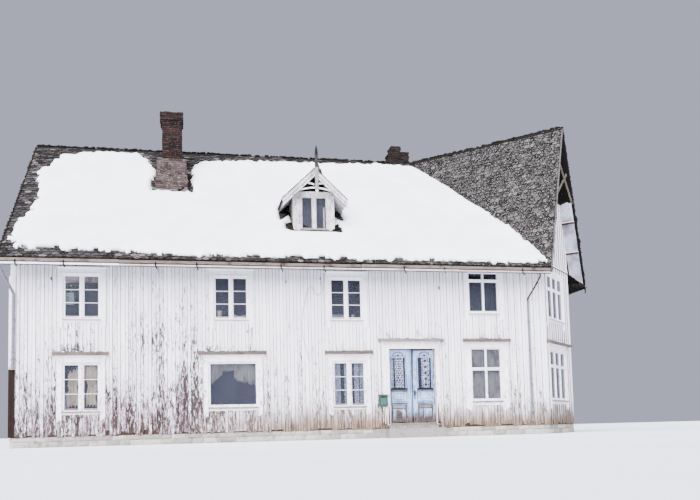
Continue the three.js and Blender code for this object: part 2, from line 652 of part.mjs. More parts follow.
function buildDoorway() {
  const jamb = DOOR_JAMB;
  const low = SILL_TOP + GAP;
  const lining = box(DOOR_LEFT - jamb, DOOR_RIGHT + jamb, -CASING_THICK, LEAF_BACK, low, DOOR_HEAD + jamb);
  const casing = box(11130, 13070, -CASING_THICK, -GAP, low, 3120);
  const way = box(DOOR_LEFT, DOOR_RIGHT, -90, WALL, 0, DOOR_HEAD);
  const cornice = box(11060, 13200, -150, -GAP, 3120, 3170);
  const hinges = HINGES_Z.flatMap((z) => [
    knuckle(-1, z).translate([DOOR_LEFT + LEAF_GAP / 2, LEAF_BACK + HINGE_OUT, 0]),
    knuckle(1, z).translate([DOOR_RIGHT - LEAF_GAP / 2, LEAF_BACK + HINGE_OUT, 0]),
  ]);
  place('door_frame', 'trim', join([lining.add(casing).subtract(way), cornice, ...hinges]));
}

// A leaf in its own frame, whose origin is the hinge line and whose face looks along minus Y.
function leafBody(width) {
  const x0 = LEAF_GAP / 2;
  const x1 = x0 + width;
  const back = -HINGE_OUT;
  const face = back - LEAF_THICK;
  const stile = 105;
  const panel = (low, high, depth, edge) => box(x0 + edge, x1 - edge, face - 90, face + depth, low, high);
  const body = box(x0, x1, face, back, DOOR_SILL + LEAF_GAP, DOOR_HEAD - LEAF_GAP)
    .subtract(box(x0 + stile, x1 - stile, face - 90, 90, LEAF_GLASS[0], LEAF_GLASS[1]))
    .subtract(panel(1150, 1480, 15, stile))
    .subtract(panel(620, 1050, 15, stile));
  const rest = [
    box(x0 + stile + 50, x1 - stile - 50, face, back - 20, 1200, 1430),
    box(x0 + stile + 50, x1 - stile - 50, face, back - 20, 670, 1000),
    box(x0 + 60, x1 - 60, face - 40, back - 20, 1495, 1535),
    box(x0 + 60, x1 - 60, face - 30, back - 20, 1075, 1110),
    ...HINGES_Z.map((z) => knuckle(1, z + HINGE_HIGH + GAP)),
  ];
  const pane = box(x0 + stile + GAP, x1 - stile - GAP, back - 26, back - 20,
    LEAF_GLASS[0] + GAP, LEAF_GLASS[1] - GAP);
  return { body: join([body, ...rest]), pane };
}

function buildDoorLeaves() {
  const width = (DOOR_RIGHT - DOOR_LEFT) / 2 - LEAF_GAP - 4;
  const { body, pane } = leafBody(width);
  const y = LEAF_BACK + HINGE_OUT;
  const left = { x: DOOR_LEFT + LEAF_GAP / 2, y, turn: 0 };
  const right = { x: DOOR_RIGHT - LEAF_GAP / 2, y, turn: 0 };
  place('door_leaf_left', 'door', body, left);
  place('door_glass_left', 'glass', pane, left);
  place('door_leaf_right', 'door', body.mirror([1, 0, 0]), right);
  place('door_glass_right', 'glass', pane.mirror([1, 0, 0]), right);
}

// Downpipes hang from the eave board, swing back under the eave and run down the wall.
function buildPipes() {
  const top = EAVE_Z - ROOF_DROP - 20 - GAP;
  const out = -EAVE_OVERHANG - FASCIA_THICK / 2;
  const near = -PIPE_RADIUS - 50;
  const pipe = (x0, x1, low) => tube([[x0, out, top], [x0, out, top - 70], [x1, near, 4520],
    [x1, near, low]], PIPE_RADIUS, 10, 3, true);
  place('left_downpipe', 'rust', pipe(-150, 80, 2340));
  place('right_downpipe', 'rust', pipe(16390, 16230, 470));
}

function buildSnow() {
  const pack = between(SNOW, lowered(frontSlope, -GAP), lowered(frontSlope, -SNOW_THICK * Math.hypot(1, SLOPE)));
  const room = 60;
  const wide = DORMER_HALF + room;
  const high = DORMER_RIDGE + room;
  const low = high - wide * DORMER_PITCH - 400;
  const dormerRoom = upright([[DORMER_MID - wide, low], [DORMER_MID + wide, low],
    [DORMER_MID + wide, high - wide * DORMER_PITCH], [DORMER_MID, high],
    [DORMER_MID - wide, high - wide * DORMER_PITCH]], 200, 3400);
  const cheekRoom = box(DORMER_LEFT - 60, DORMER_RIGHT + 60, DORMER_FACE - 110, 3000, 0, DORMER_RIDGE);
  const { base } = CHIMNEY;
  const chimneyRoom = box(base[0] - 60, base[1] + 60, base[2] - 60, 4900, 0, 20000);
  place('roof_snow', 'snow', pack.subtract(dormerRoom).subtract(cheekRoom).subtract(chimneyRoom));
}

// A dead service wire hangs from its hook in loose bends. Points are X and Z on the front wall.
function buildWire() {
  const bends = [[9210, 5079.7], [9210, 5050], [9230, 4960], [9255, 4860], [9262, 4770], [9200, 4630],
    [9085, 4580], [8990, 4680], [8910, 4850], [8850, 4810], [8770, 4670], [8680, 4310], [8600, 3930],
    [8590, 3490], [8640, 3090], [8730, 2770], [8800, 2440]];
  const path = bends.map(([x, z]) => [x, -46, z]);
  place('service_wire', 'cable', tube(path, WIRE_RADIUS, 8, 76, false));
  place('wire_hook', 'weathered', box(9175, 9245, -80, -GAP, 5080, 5150));
}

function buildMailbox() {
  const back = -CASING_THICK - GAP;
  const shell = box(10990, 11270, -180, back, 1000, 1390);
  const legs = [11110, 11195].map((x) => box(x, x + 14, -60, back, 790, 1010));
  place('mailbox', 'mailbox', join([shell, ...legs]));
}

buildFoundation();
buildFloors();
buildWalls();
buildFrontWindows();
buildDoorway();
buildDoorLeaves();
buildRoof();
buildLeftVerge();
buildCornerGableFrame();
buildFascias();
buildChimneys();
buildDormer();
buildPipes();
buildSnow();
buildWire();
buildMailbox();

// The part's origin is the middle of its foot.
const extent = new THREE.Box3().setFromObject(root);
const middle = extent.getCenter(new THREE.Vector3());
root.position.set(-middle.x, -middle.y, -extent.min.z);

export default root;
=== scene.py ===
import math
import random

import bpy
from mathutils import Matrix, Vector, noise


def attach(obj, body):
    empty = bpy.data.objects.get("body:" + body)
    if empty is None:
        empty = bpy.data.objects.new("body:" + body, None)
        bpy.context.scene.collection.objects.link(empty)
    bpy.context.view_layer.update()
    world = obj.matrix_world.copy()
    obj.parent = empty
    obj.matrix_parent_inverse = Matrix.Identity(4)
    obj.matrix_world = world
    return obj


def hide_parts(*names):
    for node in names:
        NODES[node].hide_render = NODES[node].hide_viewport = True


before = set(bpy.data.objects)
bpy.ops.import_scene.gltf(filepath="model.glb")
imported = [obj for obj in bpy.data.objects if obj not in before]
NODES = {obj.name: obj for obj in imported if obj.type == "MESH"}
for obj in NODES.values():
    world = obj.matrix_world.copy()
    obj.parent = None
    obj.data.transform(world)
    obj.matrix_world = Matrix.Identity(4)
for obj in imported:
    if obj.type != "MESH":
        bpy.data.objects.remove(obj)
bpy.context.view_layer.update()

# Lengths are in metres. X runs along the front wall from its left corner, Y back from its face.
MID = Vector((9.607845, 4.934, 0.0))
SHIFT = Matrix.Translation(-MID)
rng = random.Random(7)


# Camera

def make_camera():
    data = bpy.data.cameras.new("camera")
    data.sensor_width = 36
    data.lens = 39.5401
    data.shift_y = 0.168582
    data.clip_end = 500
    camera = bpy.data.objects.new("camera", data)
    right = Vector((0.979125, -0.201726, -0.024897))
    up = Vector((0.008506, -0.081719, 0.996619))
    back = Vector((-0.203079, -0.976027, -0.078297))
    turn = Matrix((right, up, back)).transposed().to_4x4()
    camera.matrix_world = Matrix.Translation((-4.4727, -28.8026, 0.3363)) @ turn
    bpy.context.scene.collection.objects.link(camera)
    bpy.context.scene.camera = camera


make_camera()


# Materials

def rgb(r, g, b):
    def linear(v):
        v /= 255
        return v / 12.92 if v <= 0.04045 else ((v + 0.055) / 1.055) ** 2.4
    return (linear(r), linear(g), linear(b), 1.0)


class Paint:
    """A material's nodes, in metres of the object's own space."""

    def __init__(self, name, rough=0.8, metal=0.0):
        self.mat = bpy.data.materials.new(name)
        self.mat.use_nodes = True
        self.tree = self.mat.node_tree
        self.bsdf = self.tree.nodes["Principled BSDF"]
        self.bsdf.inputs["Roughness"].default_value = rough
        self.bsdf.inputs["Metallic"].default_value = metal
        self.bsdf.inputs["Specular IOR Level"].default_value = 0.5 if rough < 0.6 else 0.1
        self.coord = self.add("ShaderNodeTexCoord").outputs["Object"]

    def add(self, kind, **settings):
        node = self.tree.nodes.new(kind)
        for key, value in settings.items():
            setattr(node, key, value)
        return node

    def put(self, value, socket):
        if isinstance(value, bpy.types.NodeSocket):
            self.tree.links.new(value, socket)
        else:
            socket.default_value = value

    def math(self, operation, a, b=0.0):
        node = self.add("ShaderNodeMath", operation=operation)
        self.put(a, node.inputs[0])
        self.put(b, node.inputs[1])
        return node.outputs[0]

    def tone(self):
        return self.add("ShaderNodeAttribute", attribute_name="tone").outputs["Fac"]

    def axis(self, name):
        node = self.add("ShaderNodeSeparateXYZ")
        self.put(self.coord, node.inputs[0])
        return node.outputs[name]

    def space(self, stretch, shifted=False):
        node = self.add("ShaderNodeMapping")
        node.inputs["Scale"].default_value = stretch
        self.put(self.coord, node.inputs["Vector"])
        if not shifted:
            return node.outputs[0]
        move = self.add("ShaderNodeCombineXYZ")
        self.put(self.math("MULTIPLY", self.tone(), 61.0), move.inputs["Z"])
        both = self.add("ShaderNodeVectorMath", operation="ADD")
        self.put(node.outputs[0], both.inputs[0])
        self.put(move.outputs[0], both.inputs[1])
        return both.outputs[0]

    def noise(self, scale, stretch=(1, 1, 1), detail=6.0, rough=0.6, shifted=False, twist=0.0):
        node = self.add("ShaderNodeTexNoise")
        self.put(self.space(stretch, shifted), node.inputs["Vector"])
        node.inputs["Scale"].default_value = scale
        node.inputs["Detail"].default_value = detail
        node.inputs["Roughness"].default_value = rough
        node.inputs["Distortion"].default_value = twist
        return node.outputs["Fac"]

    def cells(self, scale, stretch=(1, 1, 1), feature="F1"):
        node = self.add("ShaderNodeTexVoronoi", feature=feature)
        self.put(self.space(stretch), node.inputs["Vector"])
        node.inputs["Scale"].default_value = scale
        return node.outputs["Distance"]

    def fade(self, value, low, high, start=0.0, end=1.0):
        node = self.add("ShaderNodeMapRange", interpolation_type="SMOOTHSTEP")
        self.put(value, node.inputs["Value"])
        self.put(low, node.inputs["From Min"])
        self.put(high, node.inputs["From Max"])
        self.put(start, node.inputs["To Min"])
        self.put(end, node.inputs["To Max"])
        return node.outputs["Result"]

    def mix(self, share, a, b, blend="MIX"):
        node = self.add("ShaderNodeMix", data_type="RGBA", blend_type=blend)
        self.put(share, node.inputs[0])
        self.put(a, node.inputs[6])
        self.put(b, node.inputs[7])
        return node.outputs[2]

    def finish(self, color, height=None, strength=0.4, distance=0.004, rough=None):
        self.put(color, self.bsdf.inputs["Base Color"])
        if rough is not None:
            self.put(rough, self.bsdf.inputs["Roughness"])
        if height is not None:
            bump = self.add("ShaderNodeBump")
            bump.inputs["Strength"].default_value = strength
            bump.inputs["Distance"].default_value = distance
            self.put(height, bump.inputs["Height"])
            self.put(bump.outputs[0], self.bsdf.inputs["Normal"])
        return self.mat


def painted_boards(name="painted_boards", extra=0.0):
    """Old white paint on upright boards, flaking in thin streaks that thicken towards the foot."""
    p = Paint(name, rough=0.72)
    z, x = p.axis("Z"), p.axis("X")
    streaks = p.noise(34, (1, 1, 0.035), 5, 0.65, True)
    flakes = p.noise(11, (2.1, 2.1, 0.36), 10, 0.80, True, 0.1)
    stains = p.noise(5, (1.3, 1.3, 0.45), 8, 0.7, True)
    broad = p.noise(1.3, (1, 1, 0.4), 4, 0.55, True)
    white = p.mix(p.fade(broad, 0.35, 0.7), rgb(248, 247, 253), rgb(230, 227, 238))
    white = p.mix(p.fade(streaks, 0.5, 0.72, 0, 0.65), white, rgb(186, 180, 190))
    white = p.mix(p.fade(p.tone(), 0.4, 1.0, 0, 0.4), white, rgb(214, 208, 216))
    left = p.fade(p.math("ADD", x, p.math("MULTIPLY", p.noise(0.7), 3.0)), -3.8, 1.0, 1, 0)
    low = p.fade(z, 0.3, 3.2, 1, 0.1)
    share = p.math("MULTIPLY", low, p.fade(left, 0, 1, 0.45, 1))
    white = p.mix(p.math("MULTIPLY", share, p.fade(broad, 0.3, 0.6, 0.2, 0.85)), white, rgb(174, 156, 162))
    pink = p.math("MULTIPLY", p.fade(stains, p.fade(z, 0.3, 2.4, 0.46, 0.64), p.fade(z, 0.3, 2.4, 0.54, 0.70)), left)
    white = p.mix(p.math("MULTIPLY", pink, 0.8), white, rgb(106, 86, 92))
    crowd = p.fade(p.noise(0.9, (1, 1, 0.6), 3, 0.5), 0.35, 0.65, 0.03, -0.035)
    limit = p.math("ADD", p.fade(z, 0.25, 3.1, 0.465 - extra, 0.55 - extra), p.fade(z, 2.8, 5.2, 0, 0.07))
    limit = p.math("ADD", limit, crowd)
    limit = p.math("ADD", limit, p.fade(left, 0, 1, 0.06, 0))
    limit = p.math("ADD", limit, p.fade(p.tone(), 0.1, 0.9, 0.035, -0.03))
    bare = p.fade(flakes, limit, p.math("ADD", limit, 0.02))
    wood = p.mix(left, rgb(84, 64, 54), rgb(44, 27, 25))
    wood = p.mix(p.fade(streaks, 0.42, 0.62, 0, 0.8), wood, rgb(18, 13, 13))
    color = p.mix(p.math("MULTIPLY", bare, 0.97), white, wood)
    specks = p.fade(p.noise(20, (1, 1, 0.4), 8, 0.76, True), 0.555, 0.60, 0, 0.9)
    color = p.mix(p.math("MULTIPLY", specks, share), color, rgb(48, 38, 40))
    rise = p.math("ADD", z, p.math("MULTIPLY", p.noise(5, (1, 1, 0.3), 5, 0.65, True), 1.1))
    foot = p.math("MULTIPLY", p.fade(rise, 0.9, 1.85, 1.0, 0), p.fade(left, 0, 1, 1, 0.1))
    color = p.mix(foot, color, p.mix(p.fade(streaks, 0.4, 0.6), rgb(134, 112, 94), rgb(68, 54, 44)))
    height = p.math("SUBTRACT", streaks, p.math("MULTIPLY", bare, 0.6))
    return p.finish(color, height, 0.55, 0.004, p.fade(bare, 0, 1, 0.62, 0.92))


def painted_trim(name="painted_trim", worn=0.62, light=rgb(248, 247, 252), dark=rgb(230, 227, 235), stained=0.5):
    """White paint on planed boards, chipped in places and brown with splashes near the ground."""
    p = Paint(name, rough=0.6)
    grain = p.noise(22, (1, 1, 0.12), 6, 0.65, True)
    spots = p.noise(13, (1.3, 1.3, 0.5), 9, 0.74, True)
    z = p.axis("Z")
    color = p.mix(p.fade(p.noise(1.5), 0.35, 0.7), light, dark)
    color = p.mix(p.fade(grain, 0.5, 0.75, 0, 0.55), color, rgb(170, 160, 166))
    limit = p.fade(z, 0.9, 3.2, worn - 0.045, worn)
    chips = p.fade(spots, limit, p.math("ADD", limit, 0.02))
    color = p.mix(p.math("MULTIPLY", chips, 0.9), color, rgb(122, 92, 84))
    rise = p.math("ADD", z, p.math("MULTIPLY", grain, 1.3))
    color = p.mix(p.fade(rise, 0.95, 1.7, stained, 0), color, rgb(184, 152, 128))
    return p.finish(color, p.math("SUBTRACT", grain, p.math("MULTIPLY", chips, 0.6)), 0.4, 0.003)


def bare_wood(name, light, dark, stain, along=(1, 1, 0.06)):
    """Unpainted boards gone grey, with grain along one direction and stains."""
    p = Paint(name, rough=0.9)
    grain = p.noise(40, along, 7, 0.68, True)
    color = p.mix(p.fade(grain, 0.3, 0.72), light, dark)
    color = p.mix(p.fade(p.noise(3.1, (1, 1, 1), 6, 0.6, True), 0.5, 0.72, 0, 0.8), color, stain)
    color = p.mix(p.fade(p.tone(), 0.2, 1.0, 0, 0.35), color, stain)
    return p.finish(color, grain, 0.6, 0.004)


def slate_stone(name="slate_stone"):
    """Grey-brown slates, each of its own tone, with pale lichen that thickens to the right."""
    p = Paint(name, rough=0.88)
    tone = p.tone()
    grain = p.noise(16, (1, 1, 1), 8, 0.7, True)
    color = p.mix(p.fade(tone, 0, 0.85), rgb(16, 14, 14), rgb(64, 59, 59))
    color = p.mix(p.fade(tone, 0.82, 0.97, 0, 0.8), color, rgb(112, 107, 104))
    color = p.mix(p.fade(grain, 0.44, 0.62, 0, 0.6), color, rgb(9, 8, 8))
    right = p.math("ADD", p.axis("X"), p.math("MULTIPLY", p.noise(0.5, (1, 1, 1), 3, 0.5), 9.0))
    color = p.mix(p.fade(right, 2.0, 10.0, 0, 0.45), color, rgb(9, 8, 8))
    share = p.fade(right, 1.5, 12.0, 0.10, 0.42)
    pale = p.fade(p.noise(20, (1, 1, 1), 9, 0.74, True), 0.53, 0.59)
    color = p.mix(p.math("MULTIPLY", pale, share), color, rgb(170, 168, 162))
    ochre = p.fade(p.noise(9, (1, 1, 1), 8, 0.7, True, 0.4), 0.6, 0.68, 0, 0.6)
    color = p.mix(ochre, color, rgb(70, 66, 44))
    return p.finish(color, p.math("ADD", grain, p.math("MULTIPLY", pale, 0.4)), 0.6, 0.006)


def moss_green(name="moss"):
    p = Paint(name, rough=1.0)
    fine = p.noise(70, (1, 1, 1), 8, 0.75)
    color = p.mix(p.fade(p.noise(3), 0.42, 0.6), rgb(30, 26, 21), rgb(14, 12, 11))
    color = p.mix(p.fade(fine, 0.5, 0.68, 0, 0.7), color, rgb(56, 51, 38))
    return p.finish(color, fine, 0.9, 0.012)


def brickwork(name, low, high, mortar):
    p = Paint(name, rough=0.95)
    fine = p.noise(60, (1, 1, 1), 7, 0.7)
    color = p.mix(p.fade(p.tone(), 0, 1), low, high)
    color = p.mix(p.fade(p.noise(9, (1, 1, 1), 8, 0.7, True), 0.54, 0.62, 0, 0.75), color, mortar)
    color = p.mix(p.fade(fine, 0.5, 0.7, 0, 0.7), color, rgb(22, 18, 18))
    return p.finish(color, fine, 0.8, 0.008)


def rubble(name="field_stone"):
    p = Paint(name, rough=0.95)
    fine = p.noise(30, (1, 1, 1), 9, 0.7)
    color = p.mix(p.fade(p.tone(), 0, 1), rgb(128, 124, 118), rgb(166, 160, 152))
    color = p.mix(p.fade(p.noise(5, (1, 1, 1), 7, 0.65), 0.5, 0.7, 0, 0.8), color, rgb(98, 94, 88))
    color = p.mix(p.fade(fine, 0.56, 0.7, 0, 0.7), color, rgb(188, 184, 172))
    return p.finish(color, fine, 0.8, 0.01)


def snow_white(name="snow"):
    p = Paint(name, rough=0.9)
    broad = p.noise(0.9, (1, 1, 1), 4, 0.5)
    fine = p.noise(45, (1, 1, 1), 6, 0.6)
    color = p.mix(p.fade(broad, 0.35, 0.65), rgb(252, 253, 255), rgb(240, 243, 250))
    height = p.math("ADD", p.math("MULTIPLY", fine, 0.15), broad)
    return p.finish(color, height, 0.35, 0.03)


def rusty(name, steel, rust, share):
    p = Paint(name, rough=0.75, metal=0.25)
    spots = p.noise(14, (1, 1, 0.4), 9, 0.72)
    fine = p.noise(90, (1, 1, 1), 6, 0.7)
    color = p.mix(p.fade(spots, share - 0.06, share + 0.06), steel, rust)
    color = p.mix(p.fade(fine, 0.5, 0.75, 0, 0.5), color, rgb(62, 44, 38))
    return p.finish(color, fine, 0.4, 0.002)


def window_glass(name, tint, clear):
    p = Paint(name, rough=0.06)
    haze = p.noise(3, (1, 1, 1), 5, 0.6)
    drip = p.noise(20, (1, 1, 0.05), 4, 0.6)
    color = p.mix(p.fade(haze, 0.3, 0.7, 0, 0.6), tint, tuple(min(c * 1.5, 1.0) for c in tint))
    color = p.mix(p.fade(drip, 0.55, 0.8, 0, 0.35), color, tuple(min(c * 2.2, 1.0) for c in tint))
    p.bsdf.inputs["Alpha"].default_value = clear
    p.bsdf.inputs["IOR"].default_value = 1.5
    return p.finish(color, haze, 0.08, 0.004, p.fade(drip, 0.4, 0.8, 0.04, 0.22))


def cloth(name, light, dark, lace=0.0):
    """Curtain cloth. Lace has an open pattern of small rings and leaves."""
    p = Paint(name, rough=0.95)
    p.bsdf.inputs["Sheen Weight"].default_value = 0.25
    weave = p.noise(260, (1, 1, 1), 2, 0.5)
    color = p.mix(p.fade(p.noise(5, (1, 1, 0.5), 6, 0.65), 0.4, 0.68), light, dark)
    color = p.mix(p.fade(weave, 0.45, 0.7, 0, 0.3), color, dark)
    if lace:
        ring = p.cells(lace)
        open_work = p.math("MULTIPLY", p.fade(ring, 0.24, 0.30), p.fade(ring, 0.44, 0.50, 1, 0))
        p.put(p.fade(open_work, 0, 1, 1.0, 0.12), p.bsdf.inputs["Alpha"])
    return p.finish(color, weave, 0.3, 0.001)


def enamel(name, light, dark, worn):
    p = Paint(name, rough=0.5)
    scuffs = p.noise(16, (1, 1, 1), 8, 0.7)
    color = p.mix(p.fade(p.noise(4), 0.35, 0.7), light, dark)
    color = p.mix(p.fade(scuffs, 0.62, 0.7, 0, 0.8), color, worn)
    return p.finish(color, scuffs, 0.25, 0.002)


def door_paint(name="door_paint"):
    """Pale blue paint soiled in streaks, rotten to bare wood at the foot."""
    p = Paint(name, rough=0.66)
    grain = p.noise(30, (1, 1, 0.08), 7, 0.68, True)
    patch = p.noise(3.2, (1, 1, 0.7), 7, 0.66)
    color = p.mix(p.fade(patch, 0.35, 0.68), rgb(166, 184, 216), rgb(112, 136, 174))
    color = p.mix(p.fade(grain, 0.46, 0.70, 0, 0.85), color, rgb(42, 58, 94))
    chips = p.fade(p.noise(11, (1.2, 1.2, 0.45), 9, 0.74), 0.575, 0.6)
    color = p.mix(p.math("MULTIPLY", chips, 0.85), color, rgb(104, 90, 84))
    rot = p.math("ADD", p.axis("Z"), p.math("MULTIPLY", p.noise(9, (1.2, 1.2, 0.3), 7, 0.72), 1.0))
    rotten = p.mix(p.fade(grain, 0.4, 0.6), rgb(96, 74, 60), rgb(40, 32, 27))
    color = p.mix(p.fade(rot, 1.05, 1.5, 0.97, 0), color, rotten)
    return p.finish(color, p.math("SUBTRACT", grain, p.math("MULTIPLY", chips, 0.4)), 0.5, 0.003)


M = {
    "boards": painted_boards(),
    "boards_worn": painted_boards("painted_boards_worn", 0.045),
    # Batten sides: dirt in the joints and painted shade beside each batten.
    "joint_dirt_and_shade": bare_wood("board_joint_dirt_and_shade", rgb(86, 77, 80), rgb(50, 42, 44), rgb(28, 22, 22)),
    "trim": painted_trim(),
    "trim_worn": painted_trim("painted_trim_worn", 0.60, rgb(244, 236, 238), rgb(220, 208, 210), 0.9),
    # Grey-blue for the soffit's white boards, darkened as painted shade under the overhang.
    "soffit": painted_trim("soffit_paint", 0.58, rgb(174, 176, 190), rgb(98, 98, 110)),
    "dormer_paint": painted_trim("dormer_paint", 0.55, rgb(224, 222, 226), rgb(158, 153, 155)),
    "sill": bare_wood("sill_wood", rgb(206, 198, 198), rgb(158, 146, 144), rgb(112, 98, 94), (0.06, 1, 1)),
    "pale_bar": bare_wood("pale_bar", rgb(122, 112, 103), rgb(82, 74, 67), rgb(50, 43, 38)),
    # Dark slate for the slates' edges and undersides, partly painted shade under them, and for the ridge stones.
    "slate_edge": bare_wood("slate_edge", rgb(32, 28, 27), rgb(18, 16, 15), rgb(10, 9, 8), (1, 1, 1)),
    "trim_low": painted_trim("painted_trim_low", 0.60, rgb(246, 244, 249), rgb(224, 219, 226), 0.6),
    "weathered": bare_wood("weathered_wood", rgb(146, 140, 136), rgb(98, 92, 89), rgb(58, 53, 50)),
    "eave": bare_wood("eave_wood", rgb(124, 112, 105), rgb(78, 68, 62), rgb(38, 31, 27), (0.06, 1, 1)),
    "verge": bare_wood("verge_wood", rgb(98, 93, 90), rgb(64, 59, 57), rgb(38, 35, 33)),
    "verge_dark": bare_wood("grey_post", rgb(56, 53, 57), rgb(34, 32, 34), rgb(20, 19, 20)),
    "timber": bare_wood("brown_timber", rgb(66, 50, 40), rgb(40, 30, 25), rgb(24, 19, 16)),
    # Near-black boards, used for dark wood and as painted shade: in gaps, under the eaves, along the left verge and at
    # the tops of the gables.
    "dark_wood_and_shade": bare_wood("dark_wood_and_shade", rgb(22, 18, 16), rgb(12, 10, 9), rgb(8, 7, 6)),
    # Near-black for the underside of the roof slabs; the darkness is partly painted shade under the eaves.
    "underside": bare_wood("roof_underside", rgb(15, 13, 10), rgb(8, 7, 6), rgb(6, 7, 4)),
    "rot": bare_wood("rotten_wood", rgb(38, 25, 21), rgb(21, 14, 12), rgb(12, 9, 8)),
    "floor": bare_wood("floor_boards", rgb(158, 134, 106), rgb(112, 92, 72), rgb(80, 64, 52), (1, 0.06, 1)),
    "slate": slate_stone(),
    "moss": moss_green(),
    "brick": brickwork("old_brick", rgb(24, 17, 16), rgb(48, 32, 29), rgb(66, 60, 60)),
    "brick_base": brickwork("pale_brick", rgb(46, 36, 35), rgb(78, 65, 62), rgb(116, 108, 106)),
    "brick_dark": brickwork("sooty_brick", rgb(22, 17, 16), rgb(36, 27, 25), rgb(50, 45, 44)),
    "mortar": brickwork("old_mortar", rgb(82, 77, 76), rgb(102, 96, 94), rgb(126, 120, 118)),
    "stone": rubble(),
    "snow": snow_white(),
    "pipe": rusty("zinc_pipe", rgb(112, 114, 126), rgb(84, 64, 56), 0.58),
    "pipe_rust": rusty("rusted_pipe", rgb(66, 58, 58), rgb(48, 36, 31), 0.48),
    "iron": rusty("black_iron", rgb(26, 25, 27), rgb(52, 35, 29), 0.6),
    "glass": window_glass("window_glass", rgb(52, 54, 64), 0.32),
    "pale_glass": window_glass("pale_window_glass", rgb(62, 64, 74), 0.7),
    "door_glass": window_glass("door_glass", rgb(70, 76, 96), 0.14),
    # Near-opaque dark glass for the sheets inside the walls: partly glass, partly painted shade of the rooms behind.
    "inner_glass_shade": window_glass("inner_glass_shade", rgb(40, 41, 49), 0.9),
    "cornice": bare_wood("cornice_wood", rgb(116, 104, 96), rgb(66, 56, 50), rgb(38, 31, 27), (0.06, 1, 1)),
    "net": cloth("grey_net", rgb(156, 154, 152), rgb(88, 87, 88)),
    "clay": enamel("chalky_clay", rgb(214, 208, 200), rgb(176, 168, 160), rgb(120, 104, 92)),
    "panel": enamel("pale_panel", rgb(160, 178, 178), rgb(128, 146, 150), rgb(110, 118, 118)),
    "linen": cloth("old_linen", rgb(214, 200, 178), rgb(158, 138, 116)),
    "lace": cloth("lace", rgb(206, 210, 230), rgb(138, 146, 178), 30.0),
    "blind": cloth("faded_blind", rgb(176, 154, 158), rgb(138, 118, 124)),
    "door": door_paint(),
    # Dark blue-grey used as painted shade on the door: round its panels and glass, under its ledges, behind its carved
    # fan and in its gaps.
    "door_shade": bare_wood("door_painted_shade", rgb(24, 30, 48), rgb(12, 15, 26), rgb(12, 11, 13)),
    "dormer_glass": window_glass("dormer_window_glass", rgb(48, 49, 56), 0.75),
    "green": enamel("green_enamel", rgb(18, 54, 43), rgb(12, 40, 33), rgb(52, 60, 52)),
    "teal": enamel("teal_enamel", rgb(42, 88, 78), rgb(26, 64, 58), rgb(70, 82, 70)),
    "sheath": enamel("cable_sheath", rgb(16, 16, 18), rgb(10, 10, 11), rgb(40, 38, 38)),
    "lock": enamel("lock_iron", rgb(34, 46, 72), rgb(20, 26, 42), rgb(78, 70, 66)),
}


# Mesh building

